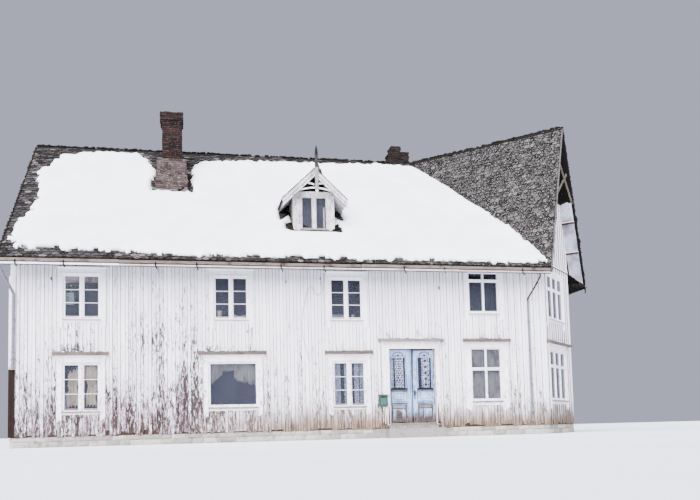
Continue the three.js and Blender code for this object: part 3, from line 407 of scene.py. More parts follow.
class Shape:
    """Faces gathered in a wall's or slope's own space and turned into one object."""

    def __init__(self, at=None):
        self.at = SHIFT @ (at or Matrix())
        self.verts = []
        self.faces = []
        self.mats = []
        self.tones = []

    def add(self, verts, faces, mat=0, tone=None):
        base = len(self.verts)
        self.verts.extend(self.at @ Vector(v) for v in verts)
        tone = rng.random() if tone is None else tone
        for k, face in enumerate(faces):
            self.faces.append([base + i for i in face])
            self.mats.append(mat[k] if isinstance(mat, list) else mat)
            self.tones.append(tone)

    def box(self, x0, x1, y0, y1, z0, z1, mat=0, tone=None, edge=0.0):
        """A board with its outer long edges taken off by edge, seen from minus Y."""
        if edge <= 0:
            self.add([(x, y, z) for z in (z0, z1) for x, y in ((x0, y0), (x1, y0), (x1, y1), (x0, y1))],
                     [(3, 2, 1, 0), (4, 5, 6, 7), (0, 1, 5, 4), (1, 2, 6, 5), (2, 3, 7, 6), (3, 0, 4, 7)],
                     mat, tone)
            return
        ring = [(x0, y1), (x0, y0 + edge), (x0 + edge, y0), (x1 - edge, y0), (x1, y0 + edge), (x1, y1)]
        self.prism_z(ring, z0, z1, mat, tone)

    def prism_z(self, ring, z0, z1, mat=0, tone=None):
        """An outline in plan, in order with its outside to the left, drawn up from z0 to z1."""
        n = len(ring)
        low = z0 if callable(z0) else (lambda x: z0)
        high = z1 if callable(z1) else (lambda x: z1)
        verts = [(x, y, low(x)) for x, y in ring] + [(x, y, high(x)) for x, y in ring]
        faces = [tuple(range(n)), tuple(range(2 * n - 1, n - 1, -1))]
        faces += [(i, i + n, (i + 1) % n + n, (i + 1) % n) for i in range(n)]
        self.add(verts, faces, mat, tone)

    def upright(self, outline, near, far, mat=0, tone=None, edge=0.0):
        """An outline in X and Z, given counter-clockwise from the front, from depth near to far."""
        n = len(outline)
        if edge <= 0:
            rings = [(outline, near), (outline, far)]
        else:
            rings = [(shrink(outline, edge), near), (outline, near + edge), (outline, far)]
        verts = [(x, y, z) for ring, y in rings for x, z in ring]
        last = len(rings) - 1
        faces = [tuple(range(n)), tuple(range((last + 1) * n - 1, last * n - 1, -1))]
        for k in range(last):
            faces += [(k * n + i, (k + 1) * n + i, (k + 1) * n + (i + 1) % n, k * n + (i + 1) % n)
                      for i in range(n)]
        self.add(verts, faces, mat, tone)

    def tube(self, points, radius, sides=10, mat=0, tone=None):
        """A round tube along a line, closed at both ends. The radius may be a list."""
        points = [Vector(p) for p in points]
        n = len(points)
        radii = radius if isinstance(radius, (list, tuple)) else [radius] * n
        verts = []
        reference = Vector((0, 0, 1)) if abs((points[1] - points[0]).normalized().z) < 0.9 else Vector((1, 0, 0))
        for i, point in enumerate(points):
            ahead = (points[min(i + 1, n - 1)] - points[max(i - 1, 0)]).normalized()
            side = ahead.cross(reference).normalized()
            over = side.cross(ahead).normalized()
            reference = over
            for k in range(sides):
                angle = 2 * math.pi * k / sides
                verts.append(point + (side * math.cos(angle) + over * math.sin(angle)) * radii[i])
        faces = [tuple(range(sides))[::-1], tuple(range((n - 1) * sides, n * sides))]
        for i in range(n - 1):
            for k in range(sides):
                a, b = i * sides + k, i * sides + (k + 1) % sides
                faces.append((a, b, b + sides, a + sides))
        self.add(verts, faces, mat, tone)

    def make(self, name, mats, body="house", nodes=(), slot=None, smooth=False):
        mesh = bpy.data.meshes.new(name)
        mesh.from_pydata([tuple(v) for v in self.verts], [], self.faces)
        for key in mats:
            mesh.materials.append(M[key])
        mesh.polygons.foreach_set("material_index", self.mats)
        if smooth:
            mesh.polygons.foreach_set("use_smooth", [True] * len(self.faces))
        tone = mesh.attributes.new("tone", "FLOAT", "FACE")
        tone.data.foreach_set("value", self.tones)
        mesh.update()
        piece = bpy.data.objects.new(name, mesh)
        bpy.context.scene.collection.objects.link(piece)
        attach(piece, body)
        if nodes:
            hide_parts(*nodes)
        return piece


def shrink(outline, by):
    """An outline moved in by a distance, its corners mitred."""
    n = len(outline)
    result = []
    for i, (x, z) in enumerate(outline):
        before, after = outline[i - 1], outline[(i + 1) % n]
        a = Vector((x - before[0], z - before[1])).normalized()
        b = Vector((after[0] - x, after[1] - z)).normalized()
        na, nb = Vector((-a.y, a.x)), Vector((-b.y, b.x))
        move = (na + nb) * (by / max(1 + na.dot(nb), 0.3))
        result.append((x + move.x, z + move.y))
    return result


def wall_space(x, y, turn):
    return Matrix.Translation((x, y, 0)) @ Matrix.Rotation(math.radians(turn), 4, "Z")


CANT = 2.63 * math.sqrt(0.5)
RIGHT_X = 16.85 + CANT
WALLS = {
    "front": (wall_space(0, 0, 0), 16.85),
    "corner": (wall_space(16.85, 0, 45), 2.63),
    "right": (wall_space(RIGHT_X, CANT, 90), 9.9 - CANT),
    "back": (wall_space(RIGHT_X, 9.9, 180), RIGHT_X),
    "left": (wall_space(0, 9.9, -90), 9.9),
}

# Roof planes
EAVE_Z, RIDGE_Z, OVERHANG = 5.45, 10.77, 0.74
RIDGE_Y = 4.95
SLOPE = (RIDGE_Z - EAVE_Z) / (RIDGE_Y + OVERHANG)
ROOF_DROP = 0.125 * math.hypot(1, SLOPE)
EAVE_X = RIGHT_X + OVERHANG
HIP = Vector((EAVE_X - RIDGE_Y - OVERHANG, RIDGE_Y))
OUT = Vector((math.sqrt(0.5), -math.sqrt(0.5)))
ALONG = Vector((math.sqrt(0.5), math.sqrt(0.5)))
APEX = Vector((16.85 + CANT / 2, CANT / 2)) + OUT * 0.51
GABLE_HALF = (APEX.y + OVERHANG) * math.sqrt(2)
FOOT_LEFT = APEX - ALONG * GABLE_HALF
FOOT_RIGHT = APEX + ALONG * GABLE_HALF
GABLE_SLOPE = (RIDGE_Z - EAVE_Z) / GABLE_HALF
GABLE_DROP = 0.125 * math.hypot(1, GABLE_SLOPE)


def front_slope(y):
    return EAVE_Z + (y + OVERHANG) * SLOPE


# Cord

WIRE = [(9.21, 5.0797), (9.21, 5.05), (9.23, 4.96), (9.255, 4.86), (9.262, 4.77), (9.2, 4.63),
        (9.085, 4.58), (8.99, 4.68), (8.91, 4.85), (8.85, 4.81), (8.77, 4.67), (8.68, 4.31),
        (8.6, 3.93), (8.59, 3.49), (8.64, 3.09), (8.73, 2.77), (8.8, 2.44)]


def smooth_line(points, steps):
    """A Catmull-Rom line through the points."""
    line = []
    for i in range(len(points) - 1):
        p0, p1 = points[max(i - 1, 0)], points[i]
        p2, p3 = points[i + 1], points[min(i + 2, len(points) - 1)]
        for k in range(steps):
            t = k / steps
            line.append(0.5 * ((2 * p1) + (p2 - p0) * t + (2 * p0 - 5 * p1 + 4 * p2 - p3) * t * t
                               + (3 * p1 - p0 - 3 * p2 + p3) * t ** 3))
    return line + [points[-1]]


def make_wire():
    data = bpy.data.curves.new("service_wire_run", "CURVE")
    data.dimensions = "3D"
    data.resolution_u = 8
    spline = data.splines.new("BEZIER")
    spline.bezier_points.add(len(WIRE) - 1)
    for point, (x, z) in zip(spline.bezier_points, WIRE):
        point.co = Vector((x, -0.046, z)) - MID
        point.handle_left_type = point.handle_right_type = "AUTO"
    data.bevel_depth = 0.006
    data.bevel_resolution = 3
    data.use_fill_caps = True
    data.materials.append(M["sheath"])
    wire = bpy.data.objects.new("service_wire_run", data)
    bpy.context.scene.collection.objects.link(wire)
    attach(wire, "house")
    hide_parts("service_wire")


make_wire()


# Cladding

CASEMENT = {"u1": (1.974, 1.10, 3.79, 5.15), "u2": (6.383, 1.10, 3.79, 5.15), "u3": (10.025, 1.10, 3.79, 5.15),
            "u4": (14.68, 1.08, 4.03, 5.41), "l1": (1.96, 1.10, 1.037, 2.485),
            "l2": (6.42, 1.54, 1.08, 2.48), "l3": (10.07, 1.10, 1.037, 2.485),
            "l4": (14.69, 1.08, 1.13, 2.88)}
CORNER = {"cu": (1.08, 1.68, 3.92, 5.44), "cl": (1.08, 1.68, 1.13, 2.82)}
SIDE_AT = {"left": [2.6, 7.3], "back": [2.6, 6.9, 11.2, 15.5], "right": [1.9, 5.9]}


def holes_of(specs):
    return [(at - w / 2, at + w / 2, low, high) for at, w, low, high in specs]


def side_specs(side):
    return [(u, 1.10, low, high) for u in SIDE_AT[side] for low, high in ((1.037, 2.485), (3.79, 5.15))]


BOARD_BACK = -0.0005
BOARD_OUT = 0.019
STRIP_OUT = 0.038


def free_spans(a, b, low, high, holes):
    """The heights of a board from a to b that no opening takes."""
    spans = [(low, high)]
    for x0, x1, z0, z1 in holes:
        if min(b, x1) - max(a, x0) < 0.25 * (b - a):
            continue
        spans = [part for s, e in spans
                 for part in ((s, min(e, z0)), (max(s, z1), e)) if part[1] - part[0] > 0.02]
    return spans


def clad(name, side, top, holes, foot=0.30):
    """Upright boards in two layers, the outer ones over the gaps of the inner ones."""
    space, length = WALLS[side]
    shape = Shape(space)
    u = -0.018

    def board(a, b, low, ring_at, tone, sides):
        for s, e in free_spans(a, b, low, 99.0, holes):
            if e > 90 and top((a + b) / 2) - s < 0.05:
                continue
            parts = [(s, e, 0)]
            if any(abs(s - h[3]) < 0.001 for h in holes) and 2.3 < s < 3.0:
                split = s + rng.uniform(0.42, 0.62)
                parts = [(s, split, 3), (split, e, 0)]
            ring = ring_at(rng.uniform(-0.003, 0.003))
            for low_z, high_z, key in parts:
                mats = [key if m == 0 else m for m in sides]
                shape.prism_z(ring, low_z, top if high_z > 90 else high_z, [key, key] + mats, tone)

    while u < length:
        end = min(u + rng.uniform(0.205, 0.235), length + 0.018)
        if length - end < 0.10:
            end = length + 0.018
        low = foot + (rng.uniform(-0.02, 0.06) if rng.random() < 0.8 else rng.uniform(0.04, 0.16))
        a, b = u, end
        board(a, b, low, lambda w: [(a + 0.003, BOARD_BACK), (a + 0.003, w - BOARD_OUT), (b - 0.003, w - BOARD_OUT),
                                    (b - 0.003, BOARD_BACK)], rng.random(), [0, 0, 0, 0])
        if end < length - 0.05:
            half, y, m = rng.uniform(0.050, 0.058), -STRIP_OUT, end
            # The batten's sides and chamfers take the joint colour: dirt in the joints and painted shade where the
            # batten stands proud.
            board(m - half, m + half, foot + rng.uniform(-0.02, 0.10), lambda w: [
                (m - half, -BOARD_OUT + 0.004), (m - half, w + y + 0.008), (m - half + 0.011, w + y),
                (m + half - 0.011, w + y), (m + half, w + y + 0.008), (m + half, -BOARD_OUT + 0.004)],
                rng.random(), [1, 1, 0, 1, 1, 0])
        u = end
    return shape


def level(z):
    return lambda u: z


def left_top(u):
    y = 9.9 - u
    return EAVE_Z + (min(y, 9.9 - y) + OVERHANG) * SLOPE - ROOF_DROP - 0.004


def corner_top(u):
    return RIDGE_Z - abs(u - 1.315) * GABLE_SLOPE - GABLE_DROP - 0.004 - 0.034 * 0


EAVE_TOP = EAVE_Z + (OVERHANG - 0.036) * SLOPE - ROOF_DROP - 0.004


def make_cladding():
    door = (11.335, 12.975, 0.0, 2.895)
    keys = ["boards", "joint_dirt_and_shade", "joint_dirt_and_shade", "boards_worn"]
    clad("front_boards", "front", level(EAVE_TOP), holes_of(CASEMENT.values()) + [door]).make(
        "front_boards", keys, slot="painted_wood")
    clad("corner_boards", "corner", corner_top, holes_of(CORNER.values())).make(
        "corner_boards", keys, slot="painted_wood")
    for side in ("right", "back"):
        clad(side + "_boards", side, level(EAVE_TOP), holes_of(side_specs(side))).make(
            side + "_boards", keys, slot="painted_wood")
    clad("left_boards", "left", left_top, holes_of(side_specs("left"))).make(
        "left_boards", keys, slot="painted_wood")


make_cladding()


# Slates

def clip(outline, planes):
    """Cuts a polygon to the inside of half-planes, each (a, b, c) with a*x + b*y <= c."""
    for a, b, c in planes:
        if not outline:
            return outline
        cut = []
        for i, p in enumerate(outline):
            q = outline[(i + 1) % len(outline)]
            dp, dq = a * p[0] + b * p[1] - c, a * q[0] + b * q[1] - c
            if dp <= 0:
                cut.append(p)
            if (dp < 0 < dq) or (dq < 0 < dp):
                t = dp / (dp - dq)
                cut.append((p[0] + (q[0] - p[0]) * t, p[1] + (q[1] - p[1]) * t))
        outline = cut
    return outline


def slope_space(origin, along, up):
    """Axes of a roof plane: along its eave, up the slope and out of the roof."""
    along, up = along.normalized(), up.normalized()
    out = along.cross(up).normalized()
    matrix = Matrix((along, up, out)).transposed().to_4x4()
    return Matrix.Translation(origin) @ matrix


def slates(name, corners, eave, width=0.25, gauge=0.155, drop=0.02):
    """Covers the plane through the corners with overlapping slates. eave is the eave's two ends."""
    a, b = Vector(eave[0]), Vector(eave[1])
    along = (b - a).normalized()
    points = [Vector(c) for c in corners]
    far = max(points, key=lambda p: (p - a - along * (p - a).dot(along)).length)
    up = (far - a - along * (far - a).dot(along)).normalized()
    space = slope_space(a, along, up)
    flat = [((p - a).dot(along), (p - a).dot(up)) for p in points]
    area = sum(p[0] * q[1] - q[0] * p[1] for p, q in zip(flat, flat[1:] + flat[:1]))
    if area < 0:
        flat.reverse()
    planes = []
    for p, q in zip(flat, flat[1:] + flat[:1]):
        dx, dy = q[0] - p[0], q[1] - p[1]
        size = math.hypot(dx, dy)
        lip = drop if abs(dx) > 0.98 * size and p[1] < 0.01 else 0
        planes.append((dy / size, -dx / size, (dy * p[0] - dx * p[1]) / size + lip))
    shape = Shape(space)
    xs, ys = [p[0] for p in flat], [p[1] for p in flat]
    row, y = 0, min(ys) - drop
    while y < max(ys):
        x = min(xs) - width * (0.5 if row % 2 else 1.0)
        while x < max(xs) + width:
            w = width * rng.uniform(0.9, 1.0)
            low = y + rng.uniform(-0.016, 0.016)
            lean = rng.uniform(-0.14, 0.14)
            mid, radius = x + width / 2, w / 2
            outline = [(mid - radius, low + gauge * 2.1), (mid - radius, low + radius * 0.72)]
            outline += [(mid + radius * math.sin(t), low + radius * 0.72 * (1 - math.cos(t)))
                        for t in (lean - 0.9, lean - 0.3, lean + 0.3, lean + 0.9)]
            outline += [(mid + radius, low + radius * 0.72), (mid + radius, low + gauge * 2.1)]
            outline = clip(outline, planes)
            if len(outline) > 2 and max(p[1] for p in outline) - min(p[1] for p in outline) > 0.03:
                slate_plate(shape, outline, low, gauge * 2.1, rng.uniform(0, 0.010))
            x += width
        y += gauge
        row += 1
    return shape


def slate_plate(shape, outline, low, length, rise):
    n = len(outline)

    def lift(p):
        t = min(max((p[1] - low) / length, 0), 1)
        return 0.046 + rise - 0.042 * t

    verts = [(p[0], p[1], lift(p) - 0.026) for p in outline] + [(p[0], p[1], lift(p)) for p in outline]
    faces = [tuple(range(n - 1, -1, -1)), tuple(range(n, 2 * n))]
    faces += [(i, (i + 1) % n, (i + 1) % n + n, i + n) for i in range(n)]
    # The underside and edges take the darker slate_edge colour, painted shade under each slate's lower edge.
    shape.add(verts, faces, [1, 0] + [1] * n)


def plan(point, z):
    return (point[0], point[1], z)


def make_slates():
    back = 0.04 / (APEX - HIP).length
    left = (-0.22, -OVERHANG, EAVE_Z)
    hip = (HIP.x, HIP.y, RIDGE_Z)
    ridge_left = (-0.22, RIDGE_Y, RIDGE_Z)
    valley = FOOT_LEFT.lerp(HIP, back)
    valley_right = FOOT_RIGHT.lerp(HIP, back)
    on_front = (valley.x, valley.y, front_slope(valley.y))
    eave_front = (FOOT_LEFT.x - 0.057, -OVERHANG, EAVE_Z)
    slates("front", [left, eave_front, on_front, hip, ridge_left], (left, eave_front), 0.22, 0.15).make(
        "front_slates", ["slate", "slate_edge"], slot="slate")
    far_y = 9.9 + OVERHANG
    corner_back = (EAVE_X, far_y, EAVE_Z)
    slates("back", [corner_back, (-0.22, far_y, EAVE_Z), ridge_left, hip],
           (corner_back, (-0.22, far_y, EAVE_Z))).make("back_slates", ["slate", "slate_edge"], slot="slate")
    on_right = (valley_right.x, valley_right.y, EAVE_Z + (EAVE_X - valley_right.x) * SLOPE)
    eave_right = (EAVE_X, FOOT_RIGHT.y + 0.057, EAVE_Z)
    slates("right", [eave_right, corner_back, hip, on_right], (eave_right, corner_back)).make(
        "right_slates", ["slate", "slate_edge"], slot="slate")
    top = (APEX.x - OUT.x * 0.04, APEX.y - OUT.y * 0.04, RIDGE_Z)
    low_left = (valley.x, valley.y, EAVE_Z + (valley - FOOT_LEFT).length * 0)
    left_z = RIDGE_Z + ((valley.x - APEX.x + valley.y - APEX.y) * math.sqrt(0.5)) * GABLE_SLOPE
    right_z = RIDGE_Z - ((valley_right.x - APEX.x + valley_right.y - APEX.y) * math.sqrt(0.5)) * GABLE_SLOPE
    low_left = (valley.x, valley.y, left_z)
    low_right = (valley_right.x, valley_right.y, right_z)
    depth = Vector((top[0] - hip[0], top[1] - hip[1], 0)).normalized()
    base_left = Vector(low_left) - depth * 6
    slates("corner_left", [low_left, top, hip], (tuple(base_left), low_left), 0.19, 0.13).make(
        "corner_slates_left", ["slate", "slate_edge"], slot="slate")
    base_right = Vector(low_right) - depth * 6
    slates("corner_right", [top, low_right, hip], (low_right, tuple(base_right))).make(
        "corner_slates_right", ["slate", "slate_edge"], slot="slate")


make_slates()


# Moss

def moss_line(shape, start, end, count, size, mat=0, lift=0.0):
    """Small cushions of moss along an edge."""
    start, end = Vector(start), Vector(end)
    for _ in range(count):
        t = rng.random()
        at = start.lerp(end, t)
        r = size * rng.uniform(0.5, 1.3)
        at.z += lift + rng.uniform(-0.3, 0.5) * r
        lump(shape, at, r * rng.uniform(1.0, 1.9), r, r * rng.uniform(0.5, 0.9), mat)


def lump(shape, at, rx, ry, rz, mat=0, rows=4, sides=7):
    turn = rng.random() * 3
    verts = [at + Vector((0, 0, -rz))]
    for j in range(1, rows):
        angle = math.pi * j / rows - math.pi / 2
        for k in range(sides):
            a = turn + 2 * math.pi * k / sides
            r = math.cos(angle) * rng.uniform(0.8, 1.2)
            verts.append(at + Vector((rx * r * math.cos(a), ry * r * math.sin(a), rz * math.sin(angle))))
    verts.append(at + Vector((0, 0, rz)))
    last = len(verts) - 1
    faces = [(0, 1 + (k + 1) % sides, 1 + k) for k in range(sides)]
    for j in range(rows - 2):
        for k in range(sides):
            a, b = 1 + j * sides + k, 1 + j * sides + (k + 1) % sides
            faces.append((a, b, b + sides, a + sides))
    base = 1 + (rows - 2) * sides
    faces += [(base + k, base + (k + 1) % sides, last) for k in range(sides)]
    shape.add(verts, faces, mat)


# Windows

PANES = {side: Shape(WALLS[side][0]) for side in WALLS}


def mirrored(outline):
    return [(-x, z) for x, z in reversed(outline)]


def side_board(shape, a, b, low, high, outer, out=0.055, mat=0):
    """An upright casing board whose foot is cut to an ogee on its outer side."""
    w = b - a
    steps = [(0.0, 0.10), (0.05, 0.075), (0.16, 0.055), (0.34, 0.045), (0.52, 0.03), (0.62, 0.0)]
    foot = [(u * w, low + h) for u, h in steps] + [(w, low)]
    outline = [(x, z) for x, z in foot] + [(w, high), (0.0, high)]
    if outer > 0:
        outline = [(w - x, z) for x, z in reversed(outline)]
    shape.upright([(a + x, z) for x, z in outline], -out, 0.004, mat, edge=0.006)
    c, d = (a, a + 0.022) if outer < 0 else (b - 0.022, b)
    shape.box(c, d, -out - 0.010, -out + 0.004, low + 0.11, high, mat, edge=0.005)
    c, d = (b - 0.02, b) if outer < 0 else (a, a + 0.02)
    shape.box(c, d, -out - 0.006, -out + 0.004, low + 0.01, high, mat, edge=0.004)


def sash(shape, panes, x0, x1, z0, z1, bars, stiles=(0.043, 0.035), rails=(0.055, 0.042), d=0.0):
    """A glazed sash with its own rails, stiles and thin bars."""
    left, right = stiles
    low, high = rails
    shape.box(x0, x0 + left, d - 0.006, d + 0.034, z0, z1, 0, edge=0.004)
    shape.box(x1 - right, x1, d - 0.006, d + 0.034, z0, z1, 0, edge=0.004)
    shape.box(x0 + left - 0.002, x1 - right + 0.002, d - 0.004, d + 0.034, z0, z0 + low, 4 if bars else 0)
    shape.box(x0 + left - 0.002, x1 - right + 0.002, d - 0.004, d + 0.034, z1 - high, z1, 0)
    gap = (z1 - high - z0 - low) / (bars + 1)
    for k in range(bars):
        z = z0 + low + gap * (k + 1) + rng.uniform(-0.006, 0.006)
        shape.upright([(x0 + left - 0.002, z - 0.008), (x1 - right + 0.002, z - 0.008),
                       (x1 - right + 0.002, z + 0.008), (x0 + left - 0.002, z + 0.008)],
                      d - 0.002, d + 0.03, 0, edge=0.004)
    for k in range(bars + 1):
        a = z0 + low + gap * k - 0.004
        panes.box(x0 + left - 0.004, x1 - right + 0.004, d + 0.012, d + 0.016, a, a + gap + 0.006)


def extrude(shape, profile, xs, mat, wave=0.0):
    """A profile of depth and height, clockwise from the left end, drawn along X."""
    n, m = len(profile), len(xs)
    verts = [(x, d, z + rng.uniform(-wave, wave)) for x in xs for d, z in profile]
    faces = [tuple(range(n - 1, -1, -1)), tuple(range((m - 1) * n, m * n))]
    faces += [(n * k + i, n * k + (i + 1) % n, n * k + (i + 1) % n + n, n * k + i + n)
              for k in range(m - 1) for i in range(n)]
    shape.add(verts, faces, mat)


def cornice_board(shape, a, b, top, out, thick, mat):
    """A weathered board that sheds water off a frame, with litter and moss on its back."""
    count = max(4, int((b - a) / 0.22))
    xs = [a + (b - a) * k / count for k in range(count + 1)]
    extrude(shape, [(-out, top - thick), (-out, top - thick * 0.15), (-out + 0.03, top), (0.0, top + 0.03),
                    (0.0, top - thick)], xs, mat, 0.006)
    for _ in range(int((b - a) * 14)):
        at = Vector((rng.uniform(a + 0.03, b - 0.03), -rng.uniform(0.05, out), top + 0.004))
        lump(shape, at, rng.uniform(0.015, 0.045), 0.016, rng.uniform(0.008, 0.024), rng.choice((0, 3)))


def window(name, side, at, width, low, high, casing, cornice=None, bars=2, lights=2, toplight=None,
           nodes=(), tail=0.17, post=0.045, stile=(0.043, 0.035), latch=0.0):
    space = WALLS[side][0]
    shape = Shape(space)
    panes = PANES[side]
    x0, x1 = at - width / 2, at + width / 2
    left, right, foot, head = casing
    side_board(shape, left, x0 + 0.008, foot - tail, head - 0.002, -1)
    side_board(shape, x1 - 0.008, right, foot - tail, head - 0.002, 1)
    # Thin brown strips at the casing's outer edges: rotten edges and painted shadow in the gap to the boards.
    for edge in (left - 0.007, right):
        shape.box(edge, edge + 0.007, -0.040, -0.02, foot - tail + 0.10, head - 0.01, 1)
    shape.box(x0, x1, -0.050, 0.004, high - 0.006, head - 0.002, 0, edge=0.004)
    shape.box(x0 - 0.01, x1 + 0.01, -0.062, -0.046, high - 0.002, high + 0.024, 0, edge=0.005)
    shape.box(left - 0.008, right + 0.008, -0.070, 0.002, head - 0.028, head - 0.004, 0, edge=0.006)
    shape.box(left - 0.03, right + 0.03, -0.094, 0.002, head - 0.006, head + 0.024, 0, edge=0.008)
    wave = [(x0 + (x1 - x0) * k / 12, foot + 0.012 * (k % 2)) for k in range(13)]
    shape.upright(wave + [(x1, low - 0.03), (x0, low - 0.03)], -0.046, 0.002, 0)
    extrude(shape, [(0.03, low - 0.045), (-0.095, low - 0.045), (-0.098, low - 0.020), (0.03, low + 0.006)],
            [x0 + 0.005 + (width - 0.01) * k / 8 for k in range(9)], 4, 0.004)
    jamb = 0.035
    shape.box(x0, x0 + jamb, -0.020, 0.11, low, high, 0, edge=0.004)
    shape.box(x1 - jamb, x1, -0.020, 0.11, low, high, 0, edge=0.004)
    shape.box(x0, x1, -0.018, 0.11, high - jamb, high, 0)
    shape.box(x0, x1, -0.012, 0.11, low, low + 0.03, 0)
    step = (width - 2 * jamb) / lights
    posts = [x0 + jamb + step * k for k in range(1, lights)]
    for x in posts:
        shape.box(x - post, x + post, -0.028, 0.11, low + 0.01, high - 0.01, 0, edge=0.006)
        shape.box(x - 0.014, x + 0.014, -0.040, -0.02, low + 0.012, high - 0.03, 0, edge=0.006)
    starts = [x0 + jamb] + [x + post for x in posts]
    ends = [x - post for x in posts] + [x1 - jamb]
    levels = [(low + 0.03, high - jamb)]
    if toplight:
        shape.box(x0 + 0.01, x1 - 0.01, -0.030, 0.10, toplight - 0.03, toplight + 0.03, 0)
        shape.box(x0 + 0.01, x1 - 0.01, -0.042, -0.02, toplight + 0.010, toplight + 0.028, 0, edge=0.005)
        levels = [(low + 0.03, toplight - 0.028), (toplight + 0.028, high - jamb)]
    for k, (z0, z1) in enumerate(levels):
        for a, b in zip(starts, ends):
            sides = stile if a < at - 0.01 else stile[::-1]
            if k == 0:
                sash(shape, panes, a, b, z0, z1, bars, sides, (0.055, 0.042) if bars else (0.045, 0.03))
            else:
                sash(shape, panes, a, b, z0, z1, 0, (0.010, 0.010), (0.014, 0.014))
    if latch:
        for z, r in ((high - 0.17, 0.024), (low + 0.22, 0.016 + 0.01 * latch)):
            ring = [(at + 0.011 * math.cos(t * math.pi / 5), z + r * math.sin(t * math.pi / 5)) for t in range(10)]
            shape.upright(ring, -0.046, -0.03, 2, edge=0.003)
    if cornice:
        a, b, top = cornice
        shape.box(left + 0.02, right - 0.02, -0.046, 0.004, head + 0.02, top - 0.06, 0, edge=0.004)
        shape.box(left - 0.005, right + 0.005, -0.075, 0.002, top - 0.125, top - 0.094, 0, edge=0.008)
        cornice_board(shape, a, b, top, 0.16, 0.10, 1)
        for x in (a + 0.07, b - 0.12):
            z = top - 0.215
            extrude(shape, [(0.0, z), (-0.045, z + 0.02), (-0.06, z + 0.07), (-0.105, z + 0.085), (-0.115, z + 0.12),
                            (0.0, z + 0.12)], [x, x + 0.05], 0)
    key = "trim" if low > 3 else "trim_low"
    ledge = "sill" if low > 3 else "weathered"
    return shape.make(name, [key, "cornice", "iron", "moss", ledge], nodes=nodes, slot="trim_wood")


def make_windows():
    wide = {"bars": 0, "post": 0.024, "stile": (0.022, 0.014)}
    table = [
        ("window_upper_1", "u1", (1.29, 2.67, 3.67, 5.33), None, {"latch": 0.5, "post": 0.034}),
        ("window_upper_2", "u2", (5.70, 7.07, 3.67, 5.35), None, {"latch": 1.0, "post": 0.034}),
        ("window_upper_3", "u3", (9.34, 10.71, 3.67, 5.33), None, {"post": 0.034}),
        ("window_upper_4", "u4", (13.99, 15.38, 3.94, 5.56), None, {"toplight": 5.13, **wide}),
        ("window_lower_1", "l1", (1.27, 2.65, 0.93, 2.67), (1.16, 2.74, 2.79), {"latch": 1.0}),
        ("window_lower_2", "l2", (5.52, 7.32, 0.96, 2.67), (5.37, 7.44, 2.79), {"bars": 0, "lights": 1}),
        ("window_lower_3", "l3", (9.38, 10.76, 0.93, 2.68), (9.29, 10.84, 2.79), {}),
        ("window_lower_4", "l4", (13.93, 15.45, 0.99, 3.06), (13.89, 15.54, 3.17), {"toplight": 2.19, **wide}),
    ]
    for name, key, casing, cornice, more in table:
        at, w, low, high = CASEMENT[key]
        window(name + "_joinery", "front", at, w, low, high, casing, cornice, nodes=[name], **more)
    for name, key, casing, cornice, light in (
            ("corner_window_upper", "cu", (0.13, 2.03, 3.79, 5.56), None, 4.965),
            ("corner_window_lower", "cl", (0.13, 2.03, 0.99, 3.06), (0.05, 2.39, 3.15), 2.30)):
        at, w, low, high = CORNER[key]
        window(name + "_joinery", "corner", at, w, low, high, casing, cornice, bars=0, lights=3,
               toplight=light, nodes=[name], post=0.02, stile=(0.014, 0.014))
    for side in SIDE_AT:
        for k, (at, w, low, high) in enumerate(side_specs(side)):
            ground = low < 2
            cornice = (at - 0.79, at + 0.79, 2.79) if ground else None
            casing = (at - 0.685, at + 0.685, low - (0.11 if ground else 0.12), high + (0.19 if ground else 0.18))
            window(f"{side}_window_{k + 1}", side, at, w, low, high, casing, cornice, latch=0.5)
    for side, shape in PANES.items():
        shape.make(f"{side}_panes", ["pale_glass" if side == "corner" else "glass"], slot="glass")


def curtain(name, x0, x1, foot, top, y, key="linen", folds=3.0, body="house",
            frayed=0.0):
    """A hanging cloth in soft folds. foot and top give its lower and upper edge at each share across."""
    nx, nz = 40, 24
    verts, faces = [], []
    for j in range(nz + 1):
        t = j / nz
        a, b = (x + frayed * noise.noise(Vector((x * 9, t * 5, 2.7))) for x in (x0, x1))
        for i in range(nx + 1):
            s = i / nx
            z = foot(s) + (top(s) - foot(s)) * t
            fold = 0.012 * math.sin(2 * math.pi * folds * s + 0.8 + t) + 0.005 * noise.noise(Vector((s * 9, z * 2, x0)))
            verts.append(Vector((a + (b - a) * s, y + fold, z)) - MID)
    for j in range(nz):
        for i in range(nx):
            a = j * (nx + 1) + i
            faces.append((a, a + 1, a + nx + 2, a + nx + 1))
    mesh = bpy.data.meshes.new(name)
    mesh.from_pydata([tuple(v) for v in verts], [], faces)
    mesh.materials.append(M[key])
    mesh.polygons.foreach_set("use_smooth", [True] * len(faces))
    mesh.update()
    piece = bpy.data.objects.new(name, mesh)
    bpy.context.scene.collection.objects.link(piece)
    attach(piece, body)
    tall = max(top(i / nx) for i in range(nx + 1)) - min(foot(i / nx) for i in range(nx + 1))


def torn(base, rise, rough, seed):
    """An edge height that slopes by rise across the cloth and is torn by rough."""
    return lambda s: base + rise * s + rough * noise.noise(Vector((s * 11, seed, 0.5))) \
        + rough * 0.6 * noise.noise(Vector((s * 31, seed, 4.5)))


